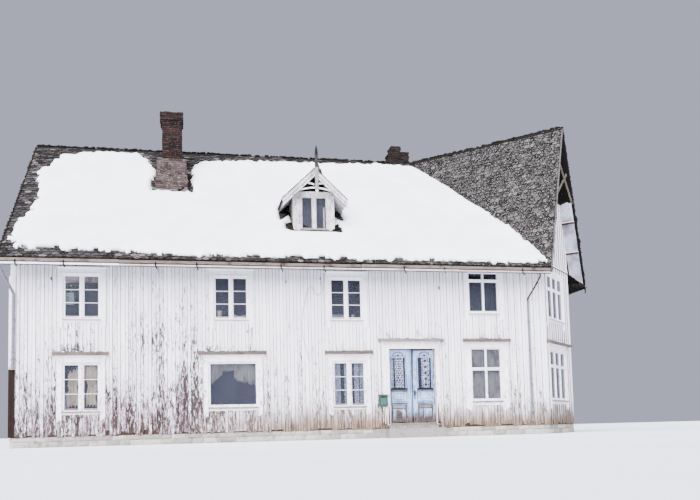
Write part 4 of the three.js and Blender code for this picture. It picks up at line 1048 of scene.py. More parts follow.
def make_curtains():
    def straight(z):
        return lambda s: z

    def scallop(z, count, depth):
        return lambda s: z + depth * abs(math.sin(math.pi * count * s))

    curtain("curtain_1_left", 1.56, 1.885, scallop(1.15, 3, 0.08), torn(2.12, 0.24, 0.10, 1.0), 0.09,
            frayed=0.09)
    curtain("curtain_1_left_lace", 1.47, 1.62, torn(1.13, 0.0, 0.05, 8.0), torn(1.62, -0.1, 0.1, 5.0), 0.12, "lace")
    curtain("curtain_1_right", 2.10, 2.40, scallop(1.15, 3, 0.09), torn(2.36, 0.12, 0.05, 2.0), 0.09,
            frayed=0.07)
    curtain("curtain_1_strip", 2.03, 2.10, torn(2.0, 0.12, 0.06, 3.0), straight(2.47), 0.12, folds=1.0)
    curtain("curtain_3_left", 9.57, 9.80, straight(1.07), straight(2.44), 0.10, "lace", 2.5)
    curtain("curtain_3_middle", 9.93, 10.02, scallop(1.07, 6, 0.02), straight(2.44), 0.10, "lace", 1.0)
    curtain("curtain_3_right", 10.25, 10.40, straight(1.07), straight(2.44), 0.10, "lace", 1.5)
    curtain("curtain_3_end", 10.44, 10.58, straight(1.07), straight(2.44), 0.13, "lace", 1.5)
    curtain("curtain_2_left", 5.64, 6.10, torn(1.75, 0.3, 0.06, 6.0), straight(2.46), 0.10, "net", 5)
    curtain("curtain_2_right", 6.45, 7.2, torn(1.95, -0.25, 0.06, 7.0), straight(2.46), 0.10, "net", 7)
    curtain("curtain_2_valance", 5.62, 7.22, torn(2.2, 0.0, 0.04, 9.0), straight(2.47), 0.14, "net", 14)
    curtain("curtain_4_left", 14.16, 14.66, straight(1.15), straight(2.86), 0.12, "net", 6)
    curtain("curtain_4_right", 14.72, 15.22, straight(1.15), straight(2.86), 0.12, "net", 6)
    curtain("blind_left", 1.47, 1.90, straight(4.90), straight(5.12), 0.07, "blind", 0.5)
    curtain("blind_right", 2.03, 2.48, straight(4.90), straight(5.12), 0.07, "blind", 0.5)
    curtain("net_2_right", 6.44, 6.90, lambda s: 3.86, lambda s: 3.92 + 0.09 * abs(2 * s - 1) ** 2, 0.09, "lace", 2)
    curtain("net_3_low", 9.5, 9.98, straight(3.86), torn(3.97, 0.0, 0.02, 3.3), 0.09, "lace", 4)
    things = Shape()
    for x, z, r in ((6.03, 3.835, 0.075), (10.27, 3.835, 0.045)):
        profile = [(0.0, 0.55), (0.05, 0.6), (0.12, 0.9), (0.2, 1.0), (0.24, 0.98), (0.26, 1.1), (0.27, 1.08)]
        things.tube([(x, 0.15, z + h * r * 12) for h, _ in profile], [r * w for _, w in profile], 16, 0)
    things.box(1.465, 1.735, 0.13, 0.15, 4.24, 4.60, 1, edge=0.006)
    things.box(1.45, 2.50, 0.10, 0.23, 3.815, 3.835, 0)
    things.box(5.85, 6.92, 0.10, 0.23, 3.815, 3.835, 0)
    things.box(9.5, 10.56, 0.10, 0.23, 3.815, 3.835, 0)
    things.make("sill_things", ["clay", "panel"], slot="trim_wood")


# Walls behind the boards on the three sides whose frames are part of the wall

def wall_core(name, side, top, holes, node):
    space, length = WALLS[side]
    start = 0.25 if side in ("left", "back") else 0.25 * math.tan(math.radians(22.5))
    stop = length - 0.25
    shape = Shape(space)
    cuts = sorted({0.0002, length - 0.0002, length / 2} | {v for h in holes for v in h[:2]})
    for a, b in zip(cuts, cuts[1:]):
        for s, e in free_spans(a, b, 0.3005, 99.0, holes):
            ring = [(a, 0.0), (b, 0.0), (min(b, stop), 0.25), (max(a, start), 0.25)]
            shape.prism_z(ring[::-1], s, top if e > 90 else e, 0, 0.5)
    shape.make(name, ["timber"], nodes=[node], slot="painted_wood")


def make_cores():
    wall_core("left_wall_core", "left", lambda u: left_top(u), holes_of(side_specs("left")), "left_gable_wall")
    wall_core("back_wall_core", "back", level(EAVE_TOP), holes_of(side_specs("back")), "back_wall")
    wall_core("right_wall_core", "right", level(EAVE_TOP), holes_of(side_specs("right")), "right_wall")


make_windows()
make_curtains()
make_cores()


# Door

FACE = 0.070
LEAF_W = 0.765


def leaf_board(shape, outline, near, far, flip, mat=0, edge=0.004, tone=None):
    if flip:
        outline = [(12.927 - x, z) for x, z in reversed(outline)]
    else:
        outline = [(11.383 + x, z) for x, z in outline]
    shape.upright(outline, FACE + near, FACE + far, mat, tone, edge)


def block(x0, x1, z0, z1):
    return [(x0, z0), (x1, z0), (x1, z1), (x0, z1)]


def shell_ornament(shape, middle, base, radius, flip):
    """A carved fan of rays in a half round, with a scroll at each side."""
    back = [(middle + radius * 1.12 * math.cos(math.pi * k / 12), base + radius * 0.78 * math.sin(math.pi * k / 12))
            for k in range(13)]
    # The back plate in the door shade colour shows round the rays as a painted dark outline.
    leaf_board(shape, back, -0.003, 0.004, flip, 4, 0.0)
    rays = 9
    for k in range(rays):
        a0, a1 = math.pi * (k + 0.14) / rays, math.pi * (k + 0.86) / rays
        outline = [(middle + radius * s * math.cos(a), base + radius * s * h * math.sin(a))
                   for s, h, a in ((0.24, 1, a0), (0.95, 0.65, a0), (1.03, 0.68, (a0 + a1) / 2), (0.95, 0.65, a1),
                                   (0.24, 1, a1))]
        leaf_board(shape, outline, -0.014, -0.002, flip, 0, 0.003)
    for side in (-1, 1):
        ring = []
        for k in range(10):
            angle, shrunk = math.pi * (0.1 + 1.2 * k / 9), 0.035 * (1 - 0.4 * k / 9)
            ring.append((middle + side * (radius * 1.12 + shrunk * math.cos(angle) + 0.03),
                         base + 0.045 + shrunk * math.sin(angle)))
        leaf_board(shape, ring[::-1] if side < 0 else ring, -0.010, 0.004, flip, 0, 0.0)


def jagged(x0, x1, low, depth, steps):
    """A rotten lower edge from x0 to x1."""
    return [(x0 + (x1 - x0) * k / steps, low + rng.uniform(0, depth) * (1 if 0 < k < steps else 0.4))
            for k in range(steps + 1)]


def make_leaf(name, body, node, flip, glass, top_left, top_right, inset_in):
    """A leaf from its hinge edge at 0 to its meeting edge, given as seen when not flipped."""
    shape = Shape()
    x0, x1 = 0.003 + (0.012 if flip else 0.0), LEAF_W - inset_in
    low = 0.458
    g0, g1 = glass
    a, b = g0 - 0.031, g1 + 0.031

    def part(c, d, e, f, near, far, key=0, edge=0.004):
        leaf_board(shape, block(c, d, e, f), near, far, flip, key, edge)

    # A rim of dark strips in the door shade colour, painted shade round a panel or opening.
    def shade_rim(c, d, e, f, wide=0.010, near=-0.002):
        for box in ((c, c + wide, e, f), (d - wide, d, e, f), (c, d, e, e + wide), (c, d, f - wide, f)):
            part(*box, near, near + 0.006, 4, 0)

    leaf_board(shape, [(x0, low), (g0 - 0.03, low + 0.012), (g0 - 0.03, top_left), (x0, top_left)], 0.0, 0.045, flip)
    leaf_board(shape, [(g1 + 0.03, low + 0.01), (x1, low), (x1, top_right), (g1 + 0.03, top_right)], 0.0, 0.045, flip)
    leaf_board(shape, [(a, 2.585), (b, 2.585), (b, top_right), (a, top_left)], 0.006, 0.040, flip)
    part(a, b, 1.50, 1.565, 0.002, 0.043)
    part(a, b, 1.05, 1.10, 0.002, 0.043)
    part(a, b, 1.09, 1.51, 0.016, 0.036)
    leaf_board(shape, jagged(a, b, low, 0.05, 7) + [(b, 1.06), (a, 1.06)], 0.018, 0.036, flip, 1, 0)
    part(g0 + 0.02, g1 - 0.02, 1.045, 1.058, 0.006, 0.02, 4, 0)
    shell_ornament(shape, (g0 + g1) / 2, 2.635, 0.17, flip)
    shade_rim(g0 - 0.045, g1 + 0.045, 1.50, 2.628)
    for c in (g0 - 0.026, g1 + 0.004):
        part(c, c + 0.022, 1.56, 2.60, -0.010, 0.03)
    part(g0 - 0.02, g1 + 0.02, 2.578, 2.602, -0.010, 0.03)
    shade_rim(g0 - 0.006, g1 + 0.006, 1.565, 2.586, 0.012, 0.012)
    # ledges, raised panels between them and a rotten panel below; the ledge strips in the door shade colour are painted
    # shade
    for z0, z1, out, wide, key in ((1.545, 1.580, 0.064, 0.055, 4), (1.505, 1.545, 0.046, 0.046, 1),
                                   (1.494, 1.515, 0.026, 0.03, 0), (1.108, 1.134, 0.050, 0.055, 0),
                                   (1.084, 1.108, 0.036, 0.045, 4), (1.060, 1.084, 0.018, 0.03, 0)):
        part(g0 - wide, g1 + wide, z0, z1, -out, 0.02, key, 0.006)
    shade_rim(g0 - 0.045, g1 + 0.045, 1.134, 1.496, 0.014)
    part(g0 + 0.01, g1 - 0.01, 1.17, 1.475, -0.004, 0.02, 0, 0.02)
    shade_rim(g0 + 0.06, g1 - 0.06, 1.225, 1.425, 0.008, -0.008)
    part(g0 + 0.075, g1 - 0.075, 1.24, 1.41, -0.012, 0.004, 0, 0.006)
    part(g0 + 0.02, g1 - 0.02, 0.945, 1.045, 0.010, 0.02, 5)
    part(g0 + 0.02, g1 - 0.02, 0.925, 0.943, 0.004, 0.02, 4, 0)
    shade_rim(g0 - 0.035, g1 + 0.035, 0.64, 1.058, 0.006)
    width = (g1 - g0 - 0.04) / 4
    for k in range(4):
        c = g0 + 0.02 + width * k
        gone = 0.26 if not flip and k in (1, 2) else 0.0
        foot = jagged(c + 0.002, c + width - 0.003, low + gone + rng.uniform(0.0, 0.12), 0.10, 4)
        leaf_board(shape, foot + [(c + width - 0.003, 0.924), (c + 0.002, 0.924)], 0.004, 0.018, flip, 0, 0)
    for z in (0.735, 1.65, 2.615):
        part(0.002, 0.045, z, z + 0.045, 0.041, 0.048, 2, 0.0)
    # Thin strips in the door shade colour along the leaf's edges are painted shade in the gaps.
    if not flip:
        part(x1 - 0.030, x1 - 0.004, low + 0.02, top_right - 0.02, -0.014, 0.004, 0, 0.006)
        part(x1 - 0.042, x1 - 0.032, low + 0.02, top_right - 0.02, -0.003, 0.004, 4, 0.0)
    else:
        leaf_board(shape, [(x1 - 0.008, 1.6), (x1 - 0.001, 1.6), (x1 - 0.001, top_right - 0.01),
                           (x1 - 0.034, top_right - 0.01)], -0.003, 0.004, flip, 4, 0)
        for e, f in ((2.25, 2.78), (1.86, 2.16), (1.62, 1.74), (0.98, 1.30), (0.52, 0.66)):
            part(x0 + 0.001, x0 + 0.024, e, f, -0.003, 0.004, 4, 0)
        part(x1 - 0.095, x1 - 0.015, 1.33, 1.51, -0.008, 0.004, 3)
        part(x1 - 0.075, x1 - 0.03, 1.24, 1.32, -0.006, 0.004, 3)
        at = 12.927 - (x1 - 0.048)
        shape.tube([(at, FACE - 0.008, 1.45), (at, FACE - 0.04, 1.45)], 0.014, 8, 3)
        shape.tube([(at - 0.006, FACE - 0.040, 1.45), (at + 0.04, FACE - 0.042, 1.448),
                    (at + 0.085, FACE - 0.038, 1.440)], [0.013, 0.011, 0.009], 8, 3)
    shape.make(name, ["door", "verge", "iron", "lock", "door_shade", "weathered"], body=body, nodes=[node], slot="door_wood")
    pane = Shape()
    leaf_board(pane, block(g0 - 0.004, g1 + 0.004, 1.56, 2.58), 0.019, 0.024, flip, 0, 0)
    pane.make(name + "_pane", ["door_glass"], body=body, nodes=["door_glass_right" if flip else "door_glass_left"],
              slot="glass")


def lace_strip(name, body, x0, x1, z0, z1, lean, medallions, y=0.104, key="lace"):
    """A hanging strip of lace with a row of open medallions."""
    nx, nz = 16, 64
    verts, faces = [], []
    for j in range(nz + 1):
        t = j / nz
        for i in range(nx + 1):
            s = i / nx
            fold = 0.006 * math.sin(s * 9 + t * 1.5) + 0.003 * math.sin(s * 23)
            x = x0 + (x1 - x0) * s + lean * (1 - t)
            verts.append(Vector((x, y + fold, z0 + (z1 - z0) * t)) - MID)
    for j in range(nz):
        for i in range(nx):
            s, t = (i + 0.5) / nx, (j + 0.5) / nz
            row = t * medallions
            dz = (row - math.floor(row) - 0.5) / 0.26
            dx = (s - 0.5) / 0.17
            if medallions and dx * dx + dz * dz < 1:
                continue
            small = (i + 3 * (j // 5 % 2)) % 5 < 3 and j % 5 < 3 and 0 < i < nx - 1
            if medallions and 3 < i < nx - 4:
                small = False
            if small or (i * 7 + j * 3) % 13 == 0:
                continue
            a = j * (nx + 1) + i
            faces.append((a, a + 1, a + nx + 2, a + nx + 1))
    mesh = bpy.data.meshes.new(name)
    mesh.from_pydata([tuple(v) for v in verts], [], faces)
    mesh.materials.append(M[key])
    mesh.update()
    used = {v for f in faces for v in f}
    piece = bpy.data.objects.new(name, mesh)
    bpy.context.scene.collection.objects.link(piece)
    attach(piece, body)
    return piece


def make_door():
    make_leaf("left_leaf", "left_door", "door_leaf_left", False, (0.100, 0.550), 2.838, 2.838, 0.004)
    make_leaf("right_leaf", "right_door", "door_leaf_right", True, (0.118, 0.560), 2.818, 2.806, 0.016)
    lace_strip("left_lace_wide", "left_door", 11.60, 11.87, 1.60, 2.565, 0.02, 0)
    lace_strip("left_lace_narrow", "left_door", 11.495, 11.55, 1.60, 2.555, -0.002, 0)
    lace_strip("right_lace", "right_door", 12.50, 12.76, 1.60, 2.565, 0.0, 5)
    shape = Shape()
    for a, b, outer in ((11.13, 11.382, -1), (12.928, 13.07, 1)):
        side_board(shape, a, b, 0.40, 3.10, outer)
        # Thin timber strips at the casing's outer edges: rotten edges and painted shadow in the gap to the boards.
        shape.box(a - 0.008, a, -0.045, -0.02, 0.5, 3.08, 3)
        shape.box(b, b + 0.008, -0.045, -0.02, 0.5, 3.08, 3)
    for x, top in ((11.135, 0.95), (11.22, 0.78), (11.31, 1.02), (12.95, 1.18), (13.0, 0.9)):
        ring = [(x, 0.42), (x + 0.05, 0.44), (x + 0.045, top * 0.85), (x + 0.03, top), (x + 0.012, top * 0.8)]
        shape.upright(ring, -0.060, -0.05, 3)
    shape.box(11.38, 12.93, -0.050, 0.004, 2.852, 3.10, 0, edge=0.005)
    shape.box(11.36, 12.95, -0.062, -0.046, 2.856, 2.88, 0, edge=0.005)
    shape.box(11.12, 13.08, -0.075, 0.004, 3.075, 3.105, 0, edge=0.008)
    for a, b in ((11.335, 11.3805), (12.9295, 12.975)):
        shape.box(a, b, -0.03, 0.24, 0.40, 2.8945, 0)
    shape.box(11.3365, 12.9735, -0.03, 0.24, 2.8515, 2.8945, 4)
    for a, b in ((11.37, 11.40), (12.91, 12.94)):
        shape.box(a, b, 0.118, 0.155, 0.40, 2.86, 0)
    extrude(shape, [(0.06, 0.392), (-0.02, 0.392), (-0.02, 0.452), (0.06, 0.468)],
            [11.384 + 1.542 * k / 9 for k in range(10)], 1, 0.006)
    cornice_board(shape, 11.03, 13.22, 3.175, 0.17, 0.085, 1)
    for x in (11.12, 13.03):
        extrude(shape, [(0.0, 2.95), (-0.06, 2.97), (-0.10, 3.02), (-0.13, 3.05), (-0.14, 3.108), (0.0, 3.108)],
                [x, x + 0.05], 0)
    for z in (0.72, 1.65, 2.60):
        for x in (11.383, 12.927):
            shape.tube([(x, 0.125, z), (x, 0.125, z + 0.045)], 0.008, 10, 2)
    shape.make("door_casing", ["trim_worn", "weathered", "iron", "timber", "dark_wood_and_shade"], nodes=["door_frame"],
               slot="trim_wood")


make_door()


# Snow

SNOW = [(-0.03, -0.36), (0.5, -0.43), (2.0, -0.46), (3.96, -0.53), (5.44, -0.58), (8.5, -0.58), (11.65, -0.60),
        (15.0, -0.60), (16.93, -0.58), (16.2, 1.0), (15.0, 3.2), (14.2, 4.3), (13.83, 4.72), (13.5, 4.74),
        (12.76, 4.80), (11.0, 4.72), (9.77, 4.66), (8.5, 4.62), (7.05, 4.56), (6.26, 4.52), (5.55, 4.33),
        (5.3, 4.1), (5.2, 3.3), (5.25, 2.56), (3.95, 2.56), (3.84, 2.92), (4.0, 3.3), (3.98, 3.8), (3.83, 4.2),
        (3.33, 4.77), (2.33, 4.77), (0.76, 4.46), (0.16, 3.36), (0.21, 2.6), (0.30, 1.76), (0.15, 1.27),
        (-0.03, 0.69), (-0.11, 0.2)]
DORMER = {"left": 8.49, "right": 9.84, "mid": 9.165, "face": 0.74, "ridge": 8.82, "pitch": 0.96, "half": 1.06,
          "mouth": 0.34}


def polygon_distance(x, y, ring):
    """Distance to the outline, above zero inside it."""
    best, inside = 1e9, False
    for i, (ax, ay) in enumerate(ring):
        bx, by = ring[(i + 1) % len(ring)]
        dx, dy = bx - ax, by - ay
        t = max(0.0, min(1.0, ((x - ax) * dx + (y - ay) * dy) / (dx * dx + dy * dy)))
        best = min(best, math.hypot(x - ax - t * dx, y - ay - t * dy))
        if (ay > y) != (by > y) and x < (bx - ax) * (y - ay) / (by - ay) + ax:
            inside = not inside
    return best if inside else -best


def box_distance(x, y, x0, x1, y0, y1):
    """Distance to a box in plan, above zero outside it."""
    dx, dy = max(x0 - x, 0, x - x1), max(y0 - y, 0, y - y1)
    if dx == 0 and dy == 0:
        return -min(x - x0, x1 - x, y - y0, y1 - y)
    return math.hypot(dx, dy)


def snow_edge(x, y):
    """Distance from the snow's edge, above zero where it lies."""
    ragged = noise.noise(Vector((x * 2.3, y * 2.3, 3.1))) * 0.07
    ragged += noise.noise(Vector((x * 6.0, y * 7.5, 9.4))) * 0.11
    left = max(0.0, min(1.0, (2.2 - x) / 1.2))
    ragged += left * (noise.noise(Vector((x * 3.1, y * 5.3, 7.7))) * 0.16 + noise.noise(Vector((x * 9, y * 13, 2.2))) * 0.08)
    d = polygon_distance(x, y, SNOW) + ragged - 0.02
    d = min(d, box_distance(x, y, 4.01, 5.12, 2.65, 4.9) - 0.03 + ragged * 0.3)
    side = abs(x - DORMER["mid"])
    reach = (DORMER["ridge"] - side * DORMER["pitch"] - EAVE_Z) / SLOPE - OVERHANG
    if side < DORMER["half"] + 0.3:
        d = min(d, max(side - DORMER["half"] - 0.01, y - reach, reach - 0.62 - y) + ragged * 0.4)
    d = min(d, box_distance(x, y, DORMER["left"], DORMER["right"], DORMER["face"] - 0.04, 2.4) - 0.02)
    for bare_x, bare_y in ((8.40, 0.86), (9.95, 0.80)):
        d = min(d, math.hypot(x - bare_x, y - bare_y) - 0.19 + ragged * 0.5)
    return d


def make_snow():
    step = 0.07
    nx, ny = int(17.5 / step), int(5.6 / step)
    x_at = [-0.3 + step * i for i in range(nx + 1)]
    y_at = [-0.70 + step * j for j in range(ny + 1)]
    depth = [[snow_edge(x, y) for x in x_at] for y in y_at]
    inside = set()
    for j in range(ny):
        for i in range(nx):
            if min(depth[j][i], depth[j][i + 1], depth[j + 1][i], depth[j + 1][i + 1]) > -0.02:
                inside.add((i, j))
    corners = sorted({(i + a, j + b) for i, j in inside for a in (0, 1) for b in (0, 1)})
    index = {c: k for k, c in enumerate(corners)}
    normal = Vector((0, -SLOPE, 1)).normalized()
    top, low = [], []
    for i, j in corners:
        x, y = x_at[i], y_at[j]
        d = depth[j][i]
        if d < 0.05:
            ex = (snow_edge(x + 0.02, y) - snow_edge(x - 0.02, y)) / 0.04
            ey = (snow_edge(x, y + 0.02) - snow_edge(x, y - 0.02)) / 0.04
            size = max(ex * ex + ey * ey, 0.2)
            move = max(min(-d / size, 0.05), -0.05)
            x, y = x + ex * move, y + ey * move
            d = max(snow_edge(x, y), 0.0)
        t = min(d / 0.20, 1.0)
        thick = 0.03 + 0.12 * math.sqrt(max(0.0, 1 - (1 - t) ** 2))
        thick += 0.03 * noise.noise(Vector((x * 0.8, y * 1.2, 1.7))) * t
        thick += 0.008 * noise.noise(Vector((x * 4.5, y * 4.5, 5.7))) * t
        valley = 16.83 - (y + OVERHANG) * 0.5396 - x
        if valley < 0.5 and y < 4.4:
            drift = 0.10 * (1 - max(valley, 0) / 0.5) * max(0.0, min(1.0, (2.6 - y) / 1.5, (y + 0.45) / 0.6))
            thick += drift * (1 + noise.noise(Vector((x * 2.5, y * 2.5, 8.8))))
        ground = Vector((x, y, front_slope(y))) + normal * 0.004
        low.append(ground)
        top.append(ground + normal * thick)
    n = len(corners)
    verts = top + low
    faces = []
    for i, j in sorted(inside):
        a, b, c, d = index[(i, j)], index[(i + 1, j)], index[(i + 1, j + 1)], index[(i, j + 1)]
        faces.append((a, b, c, d))
        faces.append((d + n, c + n, b + n, a + n))
        for (di, dj), (p, q) in (((0, -1), (a, b)), ((1, 0), (b, c)), ((0, 1), (c, d)), ((-1, 0), (d, a))):
            if (i + di, j + dj) not in inside:
                faces.append((p, p + n, q + n, q))
    shape = Shape()
    shape.add(verts, faces, 0, 0.5)
    shape.make("roof_snow_pack", ["snow"], nodes=["roof_snow"], slot="snow", smooth=True)


make_snow()


# Eaves, verges and ridges

def make_eaves():
    shape = Shape()
    left, right = -0.26, FOOT_LEFT.x - 0.06
    y = -0.766
    pieces = [left, 3.1, 6.9, 10.4, 13.6, right]
    for k, (a, b) in enumerate(zip(pieces, pieces[1:])):
        sag = rng.uniform(-0.008, 0.008)
        shape.box(a + 0.003, b - 0.003, y, y + 0.026, 5.345 + sag, 5.436 + sag, 0, edge=0.004)
        shape.box(a, b, y + 0.006, y + 0.030, 5.266, 5.325 + sag, 1 if k == 0 else 3, edge=0.004)
        # Two near-black strips, between the boards and under them, are partly painted shadow lines.
        shape.box(a, b, y - 0.003, y + 0.022, 5.322 + sag, 5.348 + sag, 2)
        shape.box(a, b, y + 0.004, y + 0.028, 5.244, 5.266, 2)
    x = 0.25
    while x < right - 0.3:
        z = 5.33 + rng.uniform(-0.01, 0.01)
        bend = rng.uniform(0.9, 1.2)
        path = [(x, y + 0.01, z + 0.06), (x, y - 0.012, z + 0.02), (x, y - 0.02, z - 0.06 * bend),
                (x + 0.03, y - 0.024, z - 0.10 * bend), (x + 0.045, y - 0.02, z - 0.15 * bend)]
        if rng.random() < 0.9:
            shape.tube(path, 0.019, 6, 2)
        x += rng.uniform(1.15, 1.4)
    for a, b in ((9.2, 9.9), (12.9, 13.35)):
        ring = [(0.0, 0.0), (-0.004, -0.034), (-0.03, -0.058), (-0.055, -0.028), (-0.052, -0.03), (-0.030, -0.052),
                (-0.010, -0.03), (-0.006, 0.0)]
        extrude(shape, [(y + d, 5.31 + z) for d, z in ring], [a, (a + b) / 2, b], 3, 0.004)
    shape.make("front_eave_board", ["eave", "trim", "dark_wood_and_shade", "sill"],
               nodes=["eave_fascia_front"], slot="weathered_wood")
    mossy = Shape()
    moss_line(mossy, (-0.2, -0.735, 5.48), (16.75, -0.735, 5.48), 560, 0.040)
    moss_line(mossy, (-0.2, 4.93, 10.83), (13.7, 4.93, 10.83), 420, 0.042)
    moss_line(mossy, (13.76, 4.95, 10.82), (APEX.x, APEX.y, 10.82), 230, 0.050)
    moss_line(mossy, (-0.235, -0.6, 5.60), (-0.235, 4.95, 10.80), 220, 0.036)
    moss_line(mossy, (FOOT_LEFT.x - 0.1, -0.7, 5.52), (FOOT_LEFT.x - 0.5, 0.0, 6.18), 40, 0.03)
    for x, y_at in ((8.36, 0.90), (8.38, 0.76), (8.46, 0.70), (9.88, 0.70), (10.0, 0.74), (9.98, 0.90), (4.9, 2.60), (5.16, 2.9), (5.17, 3.3)):
        moss_line(mossy, (x - 0.07, y_at, front_slope(y_at) + 0.06), (x + 0.05, y_at + 0.1, front_slope(y_at) + 0.16), 9, 0.05)
    mossy.make("roof_moss", ["moss"], slot="slate", smooth=True)
    rear = Shape()
    y = 9.9 + OVERHANG
    for a, b in ((-0.26, 4.6), (4.6, 9.7), (9.7, 14.4), (14.4, EAVE_X + 0.026)):
        rear.box(a + 0.002, b - 0.002, y + 0.0003, y + 0.026, 5.262, 5.436, 0, edge=0.0)
    for a, b in ((FOOT_RIGHT.y + 0.06, 5.4), (5.4, y + 0.026)):
        rear.box(EAVE_X + 0.0003, EAVE_X + 0.026, a + 0.002, b - 0.002, 5.262, 5.436, 0)
    rear.make("rear_eave_boards", ["weathered"], nodes=["eave_fascia_rear"], slot="weathered_wood")
    end = Shape()
    half = [(0.045 * math.cos(math.pi * k / 8), -0.045 * math.sin(math.pi * k / 8)) for k in range(9)]
    ring = half + [(0.85 * a, 0.85 * b) for a, b in reversed(half)]
    verts = [(EAVE_X + 0.075 + a, y_at, 5.36 + b) for y_at in (1.96, 2.5) for a, b in ring]
    n = len(ring)
    faces = [tuple(range(n)), tuple(range(2 * n - 1, n - 1, -1))]
    faces += [(i, i + n, (i + 1) % n + n, (i + 1) % n) for i in range(n)]
    end.add(verts, faces, 0)
    end.tube([(EAVE_X + 0.02, 2.03, 5.40), (EAVE_X + 0.03, 2.03, 5.33), (EAVE_X + 0.07, 2.03, 5.30),
              (EAVE_X + 0.125, 2.03, 5.33), (EAVE_X + 0.13, 2.03, 5.37)], 0.008, 6, 1)
    end.tube([(EAVE_X + 0.075, 2.0, 5.33), (EAVE_X + 0.07, 2.0, 5.22), (EAVE_X + 0.05, 2.0, 5.12)], 0.026, 10, 0)
    end.make("eave_gutter_end", ["pipe_rust", "iron"], slot="rusty_steel")


def ridge_caps(shape, a, b, width, mat=0):
    """Flat stones laid in pairs along a ridge."""
    a, b = Vector(a), Vector(b)
    along = (b - a).normalized()
    side = Vector((along.y, -along.x, 0)).normalized()
    length, t = (b - a).length, 0.0
    while t < length - 0.05:
        piece = min(rng.uniform(0.32, 0.5), length - t)
        for s in (-1, 1):
            rise = rng.uniform(0.0, 0.012)
            p0, p1 = a + along * (t + 0.004), a + along * (t + piece - 0.004)
            fall = side * s * width - Vector((0, 0, width * rng.uniform(0.82, 0.95)))
            top = Vector((0, 0, 0.045 + rise))
            down = Vector((0, 0, -0.018))
            ring = [p0 + top, p1 + top, p1 + top + fall, p0 + top + fall]
            verts = ring + [v + down for v in ring]
            faces = [(0, 1, 2, 3), (7, 6, 5, 4), (0, 4, 5, 1), (1, 5, 6, 2), (2, 6, 7, 3), (3, 7, 4, 0)]
            if s > 0:
                faces = [f[::-1] for f in faces]
            shape.add(verts, [f[::-1] for f in faces], mat)
        t += piece


def make_ridges():
    shape = Shape()
    ridge_caps(shape, (-0.20, RIDGE_Y, RIDGE_Z), (13.74, RIDGE_Y, RIDGE_Z), 0.13)
    tip = APEX - OUT * 0.03
    ridge_caps(shape, (HIP.x + 0.03, HIP.y - 0.03, RIDGE_Z), (tip.x, tip.y, RIDGE_Z), 0.08)
    ridge_caps(shape, (HIP.x + 0.05, HIP.y + 0.05, RIDGE_Z - 0.02), (EAVE_X - 0.05, 9.9 + OVERHANG - 0.05, EAVE_Z + 0.03), 0.10)
    shape.make("ridge_stones", ["slate_edge"], slot="slate")


def make_left_verge():
    shape = Shape(WALLS["left"][0])
    run = 4.95 + OVERHANG
    for side in (-1, 1):
        # The second board, near-black, stands for the slate edges and moss along the verge and is partly painted shade.
        for near, far, drop, lift, key in ((-0.26, -0.232, 0.20, 0.002, 0), (-0.261, -0.236, 0.085, 0.03, 2)):
            outline = [(4.95 + side * run, EAVE_Z - drop), (4.95, RIDGE_Z - drop), (4.95, RIDGE_Z + lift),
                       (4.95 + side * run, EAVE_Z + lift)]
            shape.upright(outline[::-side], near, far, key)
        for k in range(9):
            u = 4.95 + side * (0.35 + k * 0.62)
            z = RIDGE_Z - abs(u - 4.95) * SLOPE - ROOF_DROP
            shape.box(u - 0.05, u + 0.05, -0.23, 0.0, z - 0.10, z - 0.002, 1)
    shape.make("left_verge_boards", ["trim_worn", "weathered", "dark_wood_and_shade"], nodes=["left_barge_boards"],
               slot="trim_wood")
    post = Shape()
    ring = [(-0.052, 0.13), (-0.052, -0.052), (0.125, -0.052), (0.125, -0.02), (-0.02, -0.02), (-0.02, 0.13)]
    post.prism_z(ring, 0.31, 2.28, 1)
    post.prism_z(ring, 2.283, 5.05, 0)
    for x, top in ((-0.03, 2.42), (0.02, 2.5), (0.08, 2.36)):
        post.upright([(x - 0.022, 2.2), (x + 0.022, 2.2), (x + 0.012, top * 0.97), (x, top)], -0.056, -0.05, 1)
    post.make("corner_post", ["trim_worn", "rot"], slot="trim_wood")


make_eaves()
make_ridges()
make_left_verge()


# Steep corner gable

def under_gable(u):
    return RIDGE_Z - abs(u - 1.315) * GABLE_SLOPE - GABLE_DROP


